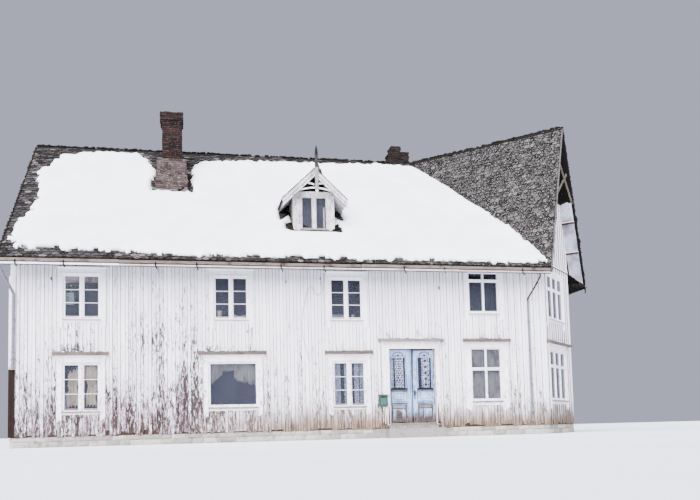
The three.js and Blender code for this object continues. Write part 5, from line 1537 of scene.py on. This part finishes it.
def make_corner_gable():
    space = WALLS["corner"][0]
    shape = Shape(space)
    mid = 1.315

    def verge(side, start, width, near, far, key):
        u0, z0 = mid + side * (GABLE_HALF - start), EAVE_Z + start * GABLE_SLOPE
        outline = [(u0, z0 - width), (mid, RIDGE_Z - width), (mid, RIDGE_Z + 0.004), (u0, z0 + 0.004)]
        shape.upright(outline[::-side], near, far, key, edge=0.004)

    verge(-1, 0.0, 0.15, -0.52, -0.472, 0)
    verge(1, 0.0, 0.24, -0.51, -0.472, 3)
    verge(1, 0.03, 0.15, -0.53, -0.508, 3)
    for (u0, z0), (u1, z1), d in (((-0.50, 9.45), (0.90, 8.17), -0.50), ((-0.93, 8.08), (0.51, 9.30), -0.465)):
        normal = Vector((z0 - z1, u1 - u0)).normalized() * 0.036
        shape.upright([(mid + u0 - normal.x, z0 - normal.y), (mid + u1 - normal.x, z1 - normal.y),
                       (mid + u1 + normal.x, z1 + normal.y), (mid + u0 + normal.x, z0 + normal.y)], d, d + 0.04, 4,
                      edge=0.004)
    for z in (6.56, 7.60):
        for side in (-1, 1):
            u = mid + side * ((RIDGE_Z - GABLE_DROP - z) / GABLE_SLOPE - 0.035)
            shape.box(u - 0.035, u + 0.035, -0.47, -0.02, z - 0.06, z - 0.002, 2, edge=0.008)
            shape.box(u - 0.045, u + 0.045, -0.48, -0.02, z - 0.004, z + 0.014, 1)
    shape.make("corner_gable_boards", ["verge", "trim_worn", "timber", "dark_wood_and_shade", "pale_bar"],
               nodes=["corner_gable_frame"], slot="weathered_wood")
    lining = Shape(space)

    def under(z, side):
        return mid + side * (RIDGE_Z - GABLE_DROP - z) / GABLE_SLOPE

    def slanted(side, d0, d1, low0, low1, high, thick, key):
        """A board up the underside of one slope, its foot cut from low0 at d0 to low1 at d1."""
        lean = Vector((-side * GABLE_SLOPE, -1)).normalized() * thick
        verts = [(under(z, side) + lean.x * s, d, z + lean.y * s)
                 for d, low in ((d0, low0), (d1, low1)) for z, s in ((low, 0), (high, 0), (high, 1), (low, 1))]
        faces = [(3, 2, 1, 0), (4, 5, 6, 7), (1, 5, 4, 0), (2, 6, 5, 1), (3, 7, 6, 2), (0, 4, 7, 3)]
        lining.add(verts, faces if side > 0 else [f[::-1] for f in faces], key)

    for side in (-1, 1):
        for k in range(4):
            d0, d1 = -0.470 + 0.112 * k, -0.362 + 0.112 * k
            cut = [5.44 + 0.10 * k, 5.54 + 0.10 * k]
            split = 8.27 + rng.uniform(-0.03, 0.03)
            slanted(side, d0, d1, *cut, split, rng.uniform(0.014, 0.020), 0)
            # Above the split the lining boards are near-black, partly painted shade under the apex.
            slanted(side, d0, d1, split + 0.004, split + 0.004, 10.2, 0.016, 1)
            slanted(side, d0, d1, cut[0] - 0.01, cut[1] - 0.01, cut[0] + 0.06, 0.034, 2)
    lining.make("corner_gable_soffit", ["soffit", "dark_wood_and_shade", "sill"], slot="painted_wood")
    # Near-black boards at the top of the gable, partly painted shade of the dark space behind.
    top = Shape(space)
    u = 0.42
    while u < 2.2:
        wide = rng.uniform(0.11, 0.15)
        z1 = under_gable(u + wide / 2) - 0.05
        if z1 > 8.35:
            top.box(u, u + wide - 0.006, -0.048, -0.02, 8.27 + rng.uniform(-0.03, 0.03), z1, 0)
        u += wide
    top.make("corner_gable_top", ["dark_wood_and_shade"], slot="weathered_wood")
    trim = Shape(space)
    trim.box(-0.01, 2.64, -0.058, -0.02, 5.776, 5.798, 1, edge=0.006)
    trim.box(-0.01, 2.64, -0.050, -0.02, 5.80, 5.84, 0, edge=0.006)
    trim.box(0.62, 0.67, -0.05, -0.03, 7.12, 7.18, 1)
    trim.make("corner_string_course", ["trim", "timber"], slot="trim_wood")
    growth = Shape(space)
    foot = under(5.66, 1)
    moss_line(growth, (mid + GABLE_HALF - 0.02, -0.50, EAVE_Z + 0.03), (mid, -0.50, RIDGE_Z + 0.03), 230, 0.042)
    moss_line(growth, (mid - GABLE_HALF, -0.47, EAVE_Z + 0.02), (mid, -0.47, RIDGE_Z + 0.03), 80, 0.020)
    for d, size in ((-0.42, 0.07), (-0.30, 0.05), (-0.18, 0.06)):
        moss_line(growth, (foot - 0.22, d, 5.36), (foot + 0.02, d - 0.05, 5.36), 9, size)
    for share, size in ((0.42, 0.10), (0.28, 0.09), (0.62, 0.07)):
        u = mid + GABLE_HALF * (1 - share)
        lump(growth, Vector((u + 0.03, -0.50, EAVE_Z + GABLE_HALF * share * GABLE_SLOPE)), size * 0.8, size * 0.7, size * 1.6)
    growth.make("corner_gable_moss", ["moss"], slot="slate", smooth=True)


make_corner_gable()


# Chimneys

def brick_course(shape, x0, x1, y0, y1, z, high, offset, mat=0, out=0.006, miss=0.03):
    """One course of bricks round a rectangular stack, with a few gone."""
    for axis in range(4):
        a, b = ((x0, x1), (y0, y1))[axis % 2]
        u = a - (0.12 if offset else 0.0)
        while u < b - 0.01:
            s, e = max(u, a) + 0.005, min(u + 0.24, b) - 0.005
            u += 0.24
            if e - s < 0.02 or rng.random() < miss:
                continue
            push = out + rng.uniform(-0.006, 0.010)
            if axis == 0:
                shape.box(s, e, y0 - push, y0 + 0.03, z, z + high, mat, edge=0.004)
            elif axis == 2:
                shape.box(s, e, y1 - 0.03, y1 + push, z, z + high, mat)
            elif axis == 1:
                shape.box(x1 - 0.03, x1 + push, s, e, z, z + high, mat)
            else:
                shape.box(x0 - push, x0 + 0.03, s, e, z, z + high, mat)


def make_chimneys():
    shape = Shape()
    course = 0.0725
    base, shoulder, stack = (4.01, 5.10, 2.65, 4.15), (4.09, 5.04, 2.76, 4.15), (4.228, 4.896, 3.30, 4.05)
    z = front_slope(base[2]) + 0.02
    k = 0

    def lerp(p, q, t):
        return [a + (b - a) * t for a, b in zip(p, q)]

    while z < 11.64:
        if z < 8.9:
            size, key = base, 1
        elif z < 9.73:
            size, key = lerp(base, shoulder, (z - 8.9) / 0.83), 1
        elif z < 9.9:
            size, key = lerp(shoulder, stack, (z - 9.73) / 0.17), 1
        else:
            size, key = stack, 0
        if z > 11.30:
            out = min(0.055, (z - 11.28) * 0.5)
            size = (stack[0] - out - 0.02, stack[1] + out - 0.005, stack[2] - out, stack[3] + out)
        x0, x1, y0, y1 = size
        brick_course(shape, x0, x1, y0, y1, z, course - 0.012, k % 2, key if z < 9.75 or k % 5 else 2,
                     miss=0.03 if z < 11.5 else 0.22)
        inner = 0.012
        fill = 3 if z < 9.8 else 2
        high = z + course - (0.0 if z < 11.5 else 0.02)
        shape.box(x0 + inner, x1 - inner, y0 + inner, y0 + 0.14, z - 0.004, high, fill, 0.5)
        shape.box(x0 + inner, x1 - inner, y1 - 0.14, y1 - inner, z - 0.004, high, fill, 0.5)
        shape.box(x0 + inner, x0 + 0.14, y0 + 0.14, y1 - 0.14, z - 0.004, high, fill, 0.5)
        shape.box(x1 - 0.14, x1 - inner, y0 + 0.14, y1 - 0.14, z - 0.004, high, fill, 0.5)
        z += course
        k += 1
    shape.box(3.985, 5.125, 2.60, 2.66, front_slope(2.6) + 0.0, front_slope(2.6) + 0.10, 3, edge=0.02)
    shape.make("chimney_bricks", ["brick", "brick_base", "brick_dark", "mortar"], nodes=["chimney_stack"],
               slot="brick")
    stub = Shape()
    y0, y1 = 4.88, 5.43
    z, k = front_slope(4.88) - 0.02, 0
    while z < 11.44:
        x0, x1 = (12.90, 13.72) if z < 11.12 else (12.94, 13.72) if z < 11.26 else (13.0, 13.40)
        wob = rng.uniform(-0.018, 0.018)
        brick_course(stub, x0 + wob, x1 + wob, y0, y1, z, course - 0.012, k % 2, 0, 0.004, 0.06)
        stub.box(x0 + 0.02, x1 - 0.02, y0 + 0.02, y1 - 0.02, z - 0.004, z + course - 0.004, 1, 0.5)
        z += course
        k += 1
    stub.make("chimney_stub_bricks", ["brick_dark", "brick_dark"], nodes=["chimney_stub"], slot="brick")


make_chimneys()


# Dormer

def dormer_top(x):
    return DORMER["ridge"] - abs(x - DORMER["mid"]) * DORMER["pitch"]


def make_dormer():
    mid, face, mouth = DORMER["mid"], DORMER["face"], DORMER["mouth"]
    shape = Shape()
    under = 0.08 * math.hypot(1, DORMER["pitch"])
    x0, x1 = DORMER["left"], DORMER["right"]
    z0, z1 = 6.93, 7.99
    # front posts, cornice, a near-black board above it as painted shade of the open gable, and the window's own frame
    for a, b in ((x0 - 0.012, 8.735), (9.625, x1 + 0.012)):
        shape.box(a, b, face - 0.025, face + 0.09, 6.86, 8.02, 0, edge=0.006)
        shape.box(a + 0.035, b - 0.035, face - 0.045, face - 0.02, 6.95, 7.92, 0, edge=0.010)
    xs = [x0 - 0.03 + (x1 - x0 + 0.06) * k / 9 for k in range(10)]
    extrude(shape, [(face + 0.06, 8.08), (face - 0.075, 8.08), (face - 0.08, 8.15), (face - 0.02, 8.175),
                    (face + 0.06, 8.175)], xs, 0, 0.012)
    extrude(shape, [(face + 0.06, 7.985), (face - 0.04, 7.985), (face - 0.045, 8.092), (face + 0.06, 8.092)], xs, 0, 0.005)
    shape.upright([(x0 + 0.16, 8.16), (x1 - 0.16, 8.16), (mid, DORMER["ridge"] - under - 0.02)],
                  face + 0.02, face + 0.07, 2)
    for a, b in ((8.725, 8.765), (9.595, 9.635)):
        shape.box(a, b, face - 0.015, face + 0.075, z0, z1, 0, edge=0.004)
        shape.box(a + 0.034, a + 0.042, face - 0.01, face + 0.01, z0, z1, 1)
    shape.box(9.125, 9.235, face - 0.03, face + 0.075, z0, z1, 0, edge=0.006)
    panes = Shape()
    d = face + 0.02
    for a, b in ((8.765, 9.125), (9.235, 9.595)):
        shape.box(a, a + 0.022, d, d + 0.03, z0 + 0.01, z1, 0)
        shape.box(b - 0.022, b, d, d + 0.03, z0 + 0.01, z1, 0)
        shape.box(a, b, d, d + 0.03, z1 - 0.022, z1, 0)
        shape.box(a, b, d, d + 0.03, z0, z0 + 0.03, 1)
        panes.box(a + 0.015, b - 0.015, d + 0.012, d + 0.016, z0 + 0.025, z1 - 0.015)
    panes.make("dormer_panes", ["dormer_glass"], slot="glass")
    shape.upright([(8.78, 6.95), (9.04, 6.95), (8.99, 7.0), (8.93, 6.99), (8.87, 7.05), (8.82, 7.03), (8.80, 7.08)],
                  d + 0.002, d + 0.010, 2)
    shape.box(9.48, 9.53, d + 0.004, d + 0.011, 6.96, 7.66, 1)
    extrude(shape, [(face + 0.02, 6.875), (face - 0.10, 6.865), (face - 0.10, 6.89), (face + 0.02, 6.935)],
            [8.70 + 0.96 * k / 6 for k in range(7)], 1, 0.006)
    shape.box(x0 - 0.01, x1 + 0.01, face - 0.03, face + 0.08, front_slope(face) + 0.01, 6.88, 1)
    # cheeks boarded upright in weathered grey, whose darkness is partly painted shade, and a lining under the overhang
    for side, x in ((-1, x0), (1, x1)):
        y = face + 0.01
        while y < 2.35:
            e = y + 0.14
            low = front_slope((y + e) / 2) + 0.005
            high = dormer_top(x) - under
            if high - low > 0.03:
                a, b = sorted((x + side * 0.004, x - side * 0.085))
                shape.box(a, b, y, e - 0.005, low, high, 1)
            y = e
        for k in range(3):
            u0, u1 = (x + side * (0.015 + 0.12 * j - 0.003 * (j > k)) for j in (k, k + 1))
            outline = [(u, dormer_top(u) - under - t) for u, t in ((u0, 0.018), (u1, 0.018), (u1, 0.001), (u0, 0.001))]
            far = (outline[1][1] - EAVE_Z) / SLOPE - OVERHANG - 0.05
            shape.upright(outline[::side], mouth + 0.043, far, 0)
    shape.make("dormer_front", ["dormer_paint", "weathered", "dark_wood_and_shade"], nodes=["dormer_walls"], slot="trim_wood")
    # slates of its roof
    foot_z = dormer_top(mid + DORMER["half"])
    back_eave = (foot_z - EAVE_Z) / SLOPE - OVERHANG
    ridge_back = (DORMER["ridge"] - EAVE_Z) / SLOPE - OVERHANG
    for side, name in ((-1, "dormer_slates_left"), (1, "dormer_slates_right")):
        foot_x = mid + side * DORMER["half"]
        low_front, low_back = (foot_x, mouth + 0.02, foot_z), (foot_x, back_eave, foot_z)
        corners = [low_front, low_back, (mid, ridge_back, DORMER["ridge"]), (mid, mouth + 0.02, DORMER["ridge"])]
        slates(name, corners, (low_back, low_front) if side < 0 else (low_front, low_back), 0.20, 0.14, 0.01).make(
            name, ["slate", "slate_edge"], slot="slate")


def make_dormer_gable():
    mid, mouth, half = DORMER["mid"], DORMER["mouth"], DORMER["half"]
    near, far = mouth - 0.012, mouth + 0.04
    shape = Shape()

    def pair(u0, u1, drop0, drop1, d0, d1, key, edge=0.005):
        for side in (-1, 1):
            z0, z1 = DORMER["ridge"] - u0 * DORMER["pitch"], DORMER["ridge"] - u1 * DORMER["pitch"]
            outline = [(mid + side * u0, z0 - drop1), (mid + side * u1, z1 - drop1),
                       (mid + side * u1, z1 - drop0), (mid + side * u0, z0 - drop0)]
            shape.upright(outline[::side], d0, d1, key, edge=edge)

    pair(0.0, half, 0.0, 0.13, near, far, 0)
    pair(0.0, half - 0.01, 0.126, 0.255, near + 0.012, far, 0)
    pair(0.0, half + 0.01, 0.006, 0.045, near - 0.022, far - 0.01, 0)
    pair(0.0, half + 0.012, -0.016, 0.004, near - 0.024, far - 0.01, 1)
    pair(0.04, half - 0.01, 0.128, 0.148, near - 0.002, near + 0.02, 1)
    pair(0.0, half - 0.015, 0.244, 0.262, near - 0.004, near + 0.02, 1)
    pair(0.0, half + 0.015, -0.040, -0.010, near - 0.03, far + 0.2, 2)
    # king post, carried up past the ridge to a turned point
    post = mid + 0.055
    shape.upright([(post - 0.048, 8.10), (post + 0.048, 8.10), (post + 0.052, 8.86), (post - 0.052, 8.86)],
                  near - 0.05, far, 4, edge=0.008)
    shape.upright([(post - 0.052, 8.86), (post + 0.052, 8.86), (post + 0.046, 9.29), (post - 0.046, 9.29)],
                  near - 0.045, far - 0.005, 1, edge=0.008)
    y = near - 0.005
    profile = [(9.28, 0.050), (9.295, 0.062), (9.315, 0.062), (9.33, 0.040), (9.345, 0.038), (9.355, 0.052),
               (9.375, 0.052), (9.39, 0.036), (9.41, 0.046), (9.45, 0.044), (9.52, 0.028), (9.57, 0.016),
               (9.605, 0.005)]
    shape.tube([(post, y, z) for z, _ in profile], [r for _, r in profile], 12, 3)
    shape.tube([(post, y, 8.11), (post, y, 8.06), (post, y, 8.02)], [0.045, 0.05, 0.015], 10, 0)
    # board on edge along the ridge behind the post
    crest = [(0.40, 9.24), (0.50, 9.00), (0.60, 9.08), (0.78, 8.92), (0.86, 9.02), (1.10, 8.86), (1.60, 8.60)]
    verts = [(mid + x + (y_at - 0.4) * 0.45, y_at, z) for x in (0.06, 0.085)
             for y_at, z in crest + [(1.60, 8.20), (0.40, 8.73)]]
    n = len(crest) + 2
    faces = [tuple(range(n)), tuple(range(2 * n - 1, n - 1, -1))]
    faces += [(i, i + n, (i + 1) % n + n, (i + 1) % n) for i in range(n)]
    shape.add(verts, faces, 1)
    # collar and braces, open between them
    arch = [(mid - 0.60 + 0.1 * k, 8.165 - 0.13 * (k - 6) ** 2 / 36) for k in range(13)]
    shape.upright(arch + [(x, z + 0.045) for x, z in reversed(arch)], near + 0.006, far - 0.01, 0)
    for side in (-1, 1):
        low_edge = [(mid + side * (0.03 + 0.26 * t), 8.265 + 0.055 * t + 0.015 * math.sin(math.pi * t))
                    for t in (k / 6 for k in range(7))]
        outline = low_edge + [(x, z + 0.050) for x, z in reversed(low_edge)]
        shape.upright(outline[::side], near + 0.01, far - 0.012, 0)
    shape.make("dormer_gable_boards", ["dormer_paint", "verge_dark", "slate", "iron", "weathered"], nodes=["dormer_gable_frame"],
               slot="weathered_wood")


make_dormer()
make_dormer_gable()


# Pipes, mailbox, hook and stones

def make_pipes():
    out, near = -0.753, -0.095
    for name, x0, x1, low, keys in (("left_downpipe", -0.15, 0.08, 2.34, ("pipe", "pipe_rust")),
                                    ("right_downpipe", 16.39, 16.23, 0.47, ("pipe_rust", "pipe"))):
        shape = Shape()
        line = [Vector(p) for p in ((x0, out, 5.24), (x0, out, 5.17), (x0 + (x1 - x0) * 0.1, out + 0.06, 5.08),
                                    (x0 + (x1 - x0) * 0.5, (out + near) / 2, 4.82),
                                    (x0 + (x1 - x0) * 0.94, near - 0.04, 4.56), (x1, near, 4.47), (x1, near, 4.38))]
        shape.tube(smooth_line(line, 4), 0.040 if keys[0] == "pipe" else 0.030, 14, 0)
        upper = 0 if keys[0] == "pipe" else 1
        z = 4.44
        while z > low + 0.05:
            end = max(z - 0.95, low)
            radius = 0.034 if upper and z > 3.4 else 0.042
            lean = rng.uniform(-0.006, 0.006)
            shape.tube([(x1, near, z), (x1 + lean, near, (z + end) / 2), (x1, near, end - 0.03)], radius, 14, upper)
            shape.tube([(x1, near, end + 0.02), (x1, near, end - 0.035)], radius + 0.006, 14, upper)
            shape.tube([(x1 - 0.05, -0.02, end + 0.25), (x1 - 0.052, near, end + 0.25),
                        (x1, near - 0.05, end + 0.25), (x1 + 0.052, near, end + 0.25),
                        (x1 + 0.05, -0.02, end + 0.25)], 0.007, 6, 2)
            z = end
        shape.make(name + "_run", [keys[0], keys[1], "iron"], nodes=[name], slot="rusty_steel")


def make_mailbox():
    shape = Shape()
    x0, x1, y0, y1, z0, z1 = 10.99, 11.27, -0.178, -0.033, 1.0, 1.36
    shape.box(x0, x1, y0, y1, z0, z1, 0, edge=0.012)
    lid = [(y0 - 0.014, z1 - 0.03), (y0 - 0.014, z1), (y0 + 0.02, z1 + 0.022), (y1, z1 + 0.034), (y1, z1 - 0.03)]
    verts = [(x, y, z) for x in (x0 - 0.008, x1 + 0.008) for y, z in lid]
    n = len(lid)
    faces = [tuple(range(n))[::-1], tuple(range(n, 2 * n))]
    faces += [(i, (i + 1) % n, (i + 1) % n + n, i + n) for i in range(n)]
    shape.add(verts, [f[::-1] for f in faces], 0)
    shape.box(x0 + 0.05, x1 - 0.05, y0 - 0.007, y0 + 0.004, z0 + 0.06, z1 - 0.09, 1, edge=0.008)
    shape.box(x0 + 0.07, x1 - 0.07, y0 - 0.010, y0 + 0.004, z1 - 0.065, z1 - 0.045, 2)
    shape.tube([(x0 + 0.14, y0 - 0.004, z0 + 0.035), (x0 + 0.14, y0 - 0.016, z0 + 0.035)], 0.010, 10, 2)
    for x in (11.117, 11.202):
        shape.box(x - 0.007, x + 0.007, -0.058, -0.034, 0.79, 1.01, 2)
    shape.box(11.09, 11.23, -0.054, -0.036, 0.86, 0.88, 2)
    shape.make("mailbox_case", ["green", "teal", "iron"], nodes=["mailbox"], slot="green_metal")
    hook = Shape()
    hook.box(9.18, 9.24, -0.034, -0.001, 5.085, 5.145, 0, edge=0.006)
    hook.tube([(9.21, -0.02, 5.12), (9.21, -0.05, 5.12), (9.21, -0.066, 5.108), (9.21, -0.062, 5.09),
               (9.21, -0.046, 5.083)], 0.009, 8, 0)
    hook.make("wire_bracket", ["iron"], nodes=["wire_hook"], slot="rusty_steel")
    pegs = Shape()
    for u, z in ((1.11, 4.99), (8.10, 4.99), (13.14, 4.86)):
        pegs.box(u - 0.018, u + 0.018, -0.05, -0.02, z - 0.05, z + 0.05, 0, edge=0.005)
        pegs.tube([(u, -0.04, z), (u, -0.085, z + 0.012), (u, -0.092, z + 0.035)], 0.007, 6, 0)
    pegs.make("wall_irons", ["iron"], slot="rusty_steel")


def stones(name, side, z_top=0.296, skip=None):
    space, length = WALLS[side]
    shape = Shape(space)
    z = 0.0
    for high in (0.16, z_top - 0.16):
        u = -0.012 if z == 0 else -0.01
        while u < length:
            wide = min(rng.uniform(0.28, 0.62), length + 0.01 - u)
            if wide < 0.05:
                break
            if not (skip and u + wide > skip[0] and u < skip[1]):
                rock(shape, u + 0.006, u + wide - 0.006, z + 0.002, z + high - 0.004)
            u += wide
        z += high
    shape.make(name, ["stone"], slot="stone")


def rock(shape, x0, x1, z0, z1):
    """A roughly squared stone face with rounded edges."""
    n, m = 5, 4
    verts, faces = [], []
    seed = rng.random() * 50
    for j in range(m + 1):
        for i in range(n + 1):
            s, t = i / n, j / m
            edge = min(s, 1 - s) * (x1 - x0), min(t, 1 - t) * (z1 - z0)
            round_off = min(min(edge) / 0.03, 1.0)
            bulge = 0.022 * math.sqrt(round_off) + 0.012 * noise.noise(Vector((s * 2 + seed, t * 2, seed))) * round_off
            verts.append((x0 + (x1 - x0) * s, -0.004 - bulge, z0 + (z1 - z0) * t))
    for j in range(m):
        for i in range(n):
            a = j * (n + 1) + i
            faces.append((a, a + 1, a + n + 2, a + n + 1))
    back = len(verts)
    rim = list(range(n + 1)) + [(n + 1) * j + n for j in range(1, m + 1)] + \
        [(n + 1) * m + i for i in range(n - 1, -1, -1)] + [(n + 1) * j for j in range(m - 1, 0, -1)]
    verts += [(verts[k][0], 0.01, verts[k][2]) for k in rim]
    count = len(rim)
    for k in range(count):
        faces.append((rim[k], back + k, back + (k + 1) % count, rim[(k + 1) % count]))
    faces.append(tuple(range(back, back + count)))
    shape.add(verts, faces, 0)


def make_stones():
    stones("foundation_stones_front", "front", skip=(11.1, 13.2))
    for side in ("corner", "right", "back", "left"):
        stones("foundation_stones_" + side, side)


make_pipes()
make_mailbox()
make_stones()


# CAD nodes that stay

STAYS = {
    "foundation": "stone", "door_step": "stone", "door_sill": "weathered",
    "ground_floor": "floor", "upper_floor": "floor", "attic_floor": "floor",
    "front_wall_left": "timber", "front_wall_over_door": "timber", "front_wall_right": "timber",
    "left_gable_wall": "timber", "back_wall": "timber", "right_wall": "timber", "corner_wall": "timber",
    "roof_front": "underside", "roof_back": "underside", "roof_right": "underside",
    "corner_roof_left": "underside", "corner_roof_right": "underside",
    "front_glass_upper": "inner_glass_shade", "front_glass_lower_left": "inner_glass_shade",
    "front_glass_lower_right": "inner_glass_shade", "corner_glass_upper": "inner_glass_shade",
    "corner_glass_lower": "inner_glass_shade", "left_glass_lower": "inner_glass_shade", "left_glass_upper": "inner_glass_shade",
    "right_glass_lower": "inner_glass_shade", "right_glass_upper": "inner_glass_shade",
    "back_glass_lower": "inner_glass_shade", "back_glass_upper": "inner_glass_shade", "dormer_glass": "inner_glass_shade",
    "door_frame": "trim_worn", "door_leaf_left": "door", "door_leaf_right": "door",
    "door_glass_left": "glass", "door_glass_right": "glass",
    "left_barge_boards": "trim_worn", "corner_gable_frame": "weathered",
    "eave_fascia_front": "weathered", "eave_fascia_rear": "weathered",
    "chimney_stack": "brick", "chimney_stub": "brick_dark",
    "dormer_walls": "trim_worn", "dormer_roof": "slate", "dormer_gable_frame": "weathered",
    "left_downpipe": "pipe", "right_downpipe": "pipe_rust", "roof_snow": "snow",
    "wire_hook": "iron", "mailbox": "green",
    "window_upper_1": "trim", "window_upper_2": "trim", "window_upper_3": "trim", "window_upper_4": "trim",
    "window_lower_1": "trim", "window_lower_2": "trim", "window_lower_3": "trim", "window_lower_4": "trim",
    "corner_window_upper": "trim", "corner_window_lower": "trim",
}
for node_name, key in STAYS.items():
    slots = NODES[node_name].data.materials
    slots.clear()
    slots.append(M[key])


# Floor and light

def make_stage():
    mesh = bpy.data.meshes.new("floor")
    mesh.from_pydata([(-150, -150, -0.001), (150, -150, -0.001), (150, 150, -0.001), (-150, 150, -0.001)],
                     [], [(0, 1, 2, 3)])
    ground = Paint("pale_floor", rough=0.95)
    color = ground.mix(ground.fade(ground.noise(0.2), 0.3, 0.7), rgb(238, 239, 243), rgb(230, 232, 238))
    mesh.materials.append(ground.finish(color))
    floor = bpy.data.objects.new("floor", mesh)
    bpy.context.scene.collection.objects.link(floor)
    world = bpy.data.worlds.new("sky")
    world.use_nodes = True
    sky = world.node_tree.nodes["Background"]
    sky.inputs["Color"].default_value = rgb(208, 211, 236)
    sky.inputs["Strength"].default_value = 0.75
    bpy.context.scene.world = world
    sun = bpy.data.lights.new("soft_light", "SUN")
    sun.energy = 17.0
    sun.color = (0.93, 0.94, 1.0)
    sun.angle = math.radians(70)
    lamp = bpy.data.objects.new("soft_light", sun)
    lamp.rotation_euler = (math.radians(48), math.radians(-12), math.radians(-18))
    bpy.context.scene.collection.objects.link(lamp)


make_stage()
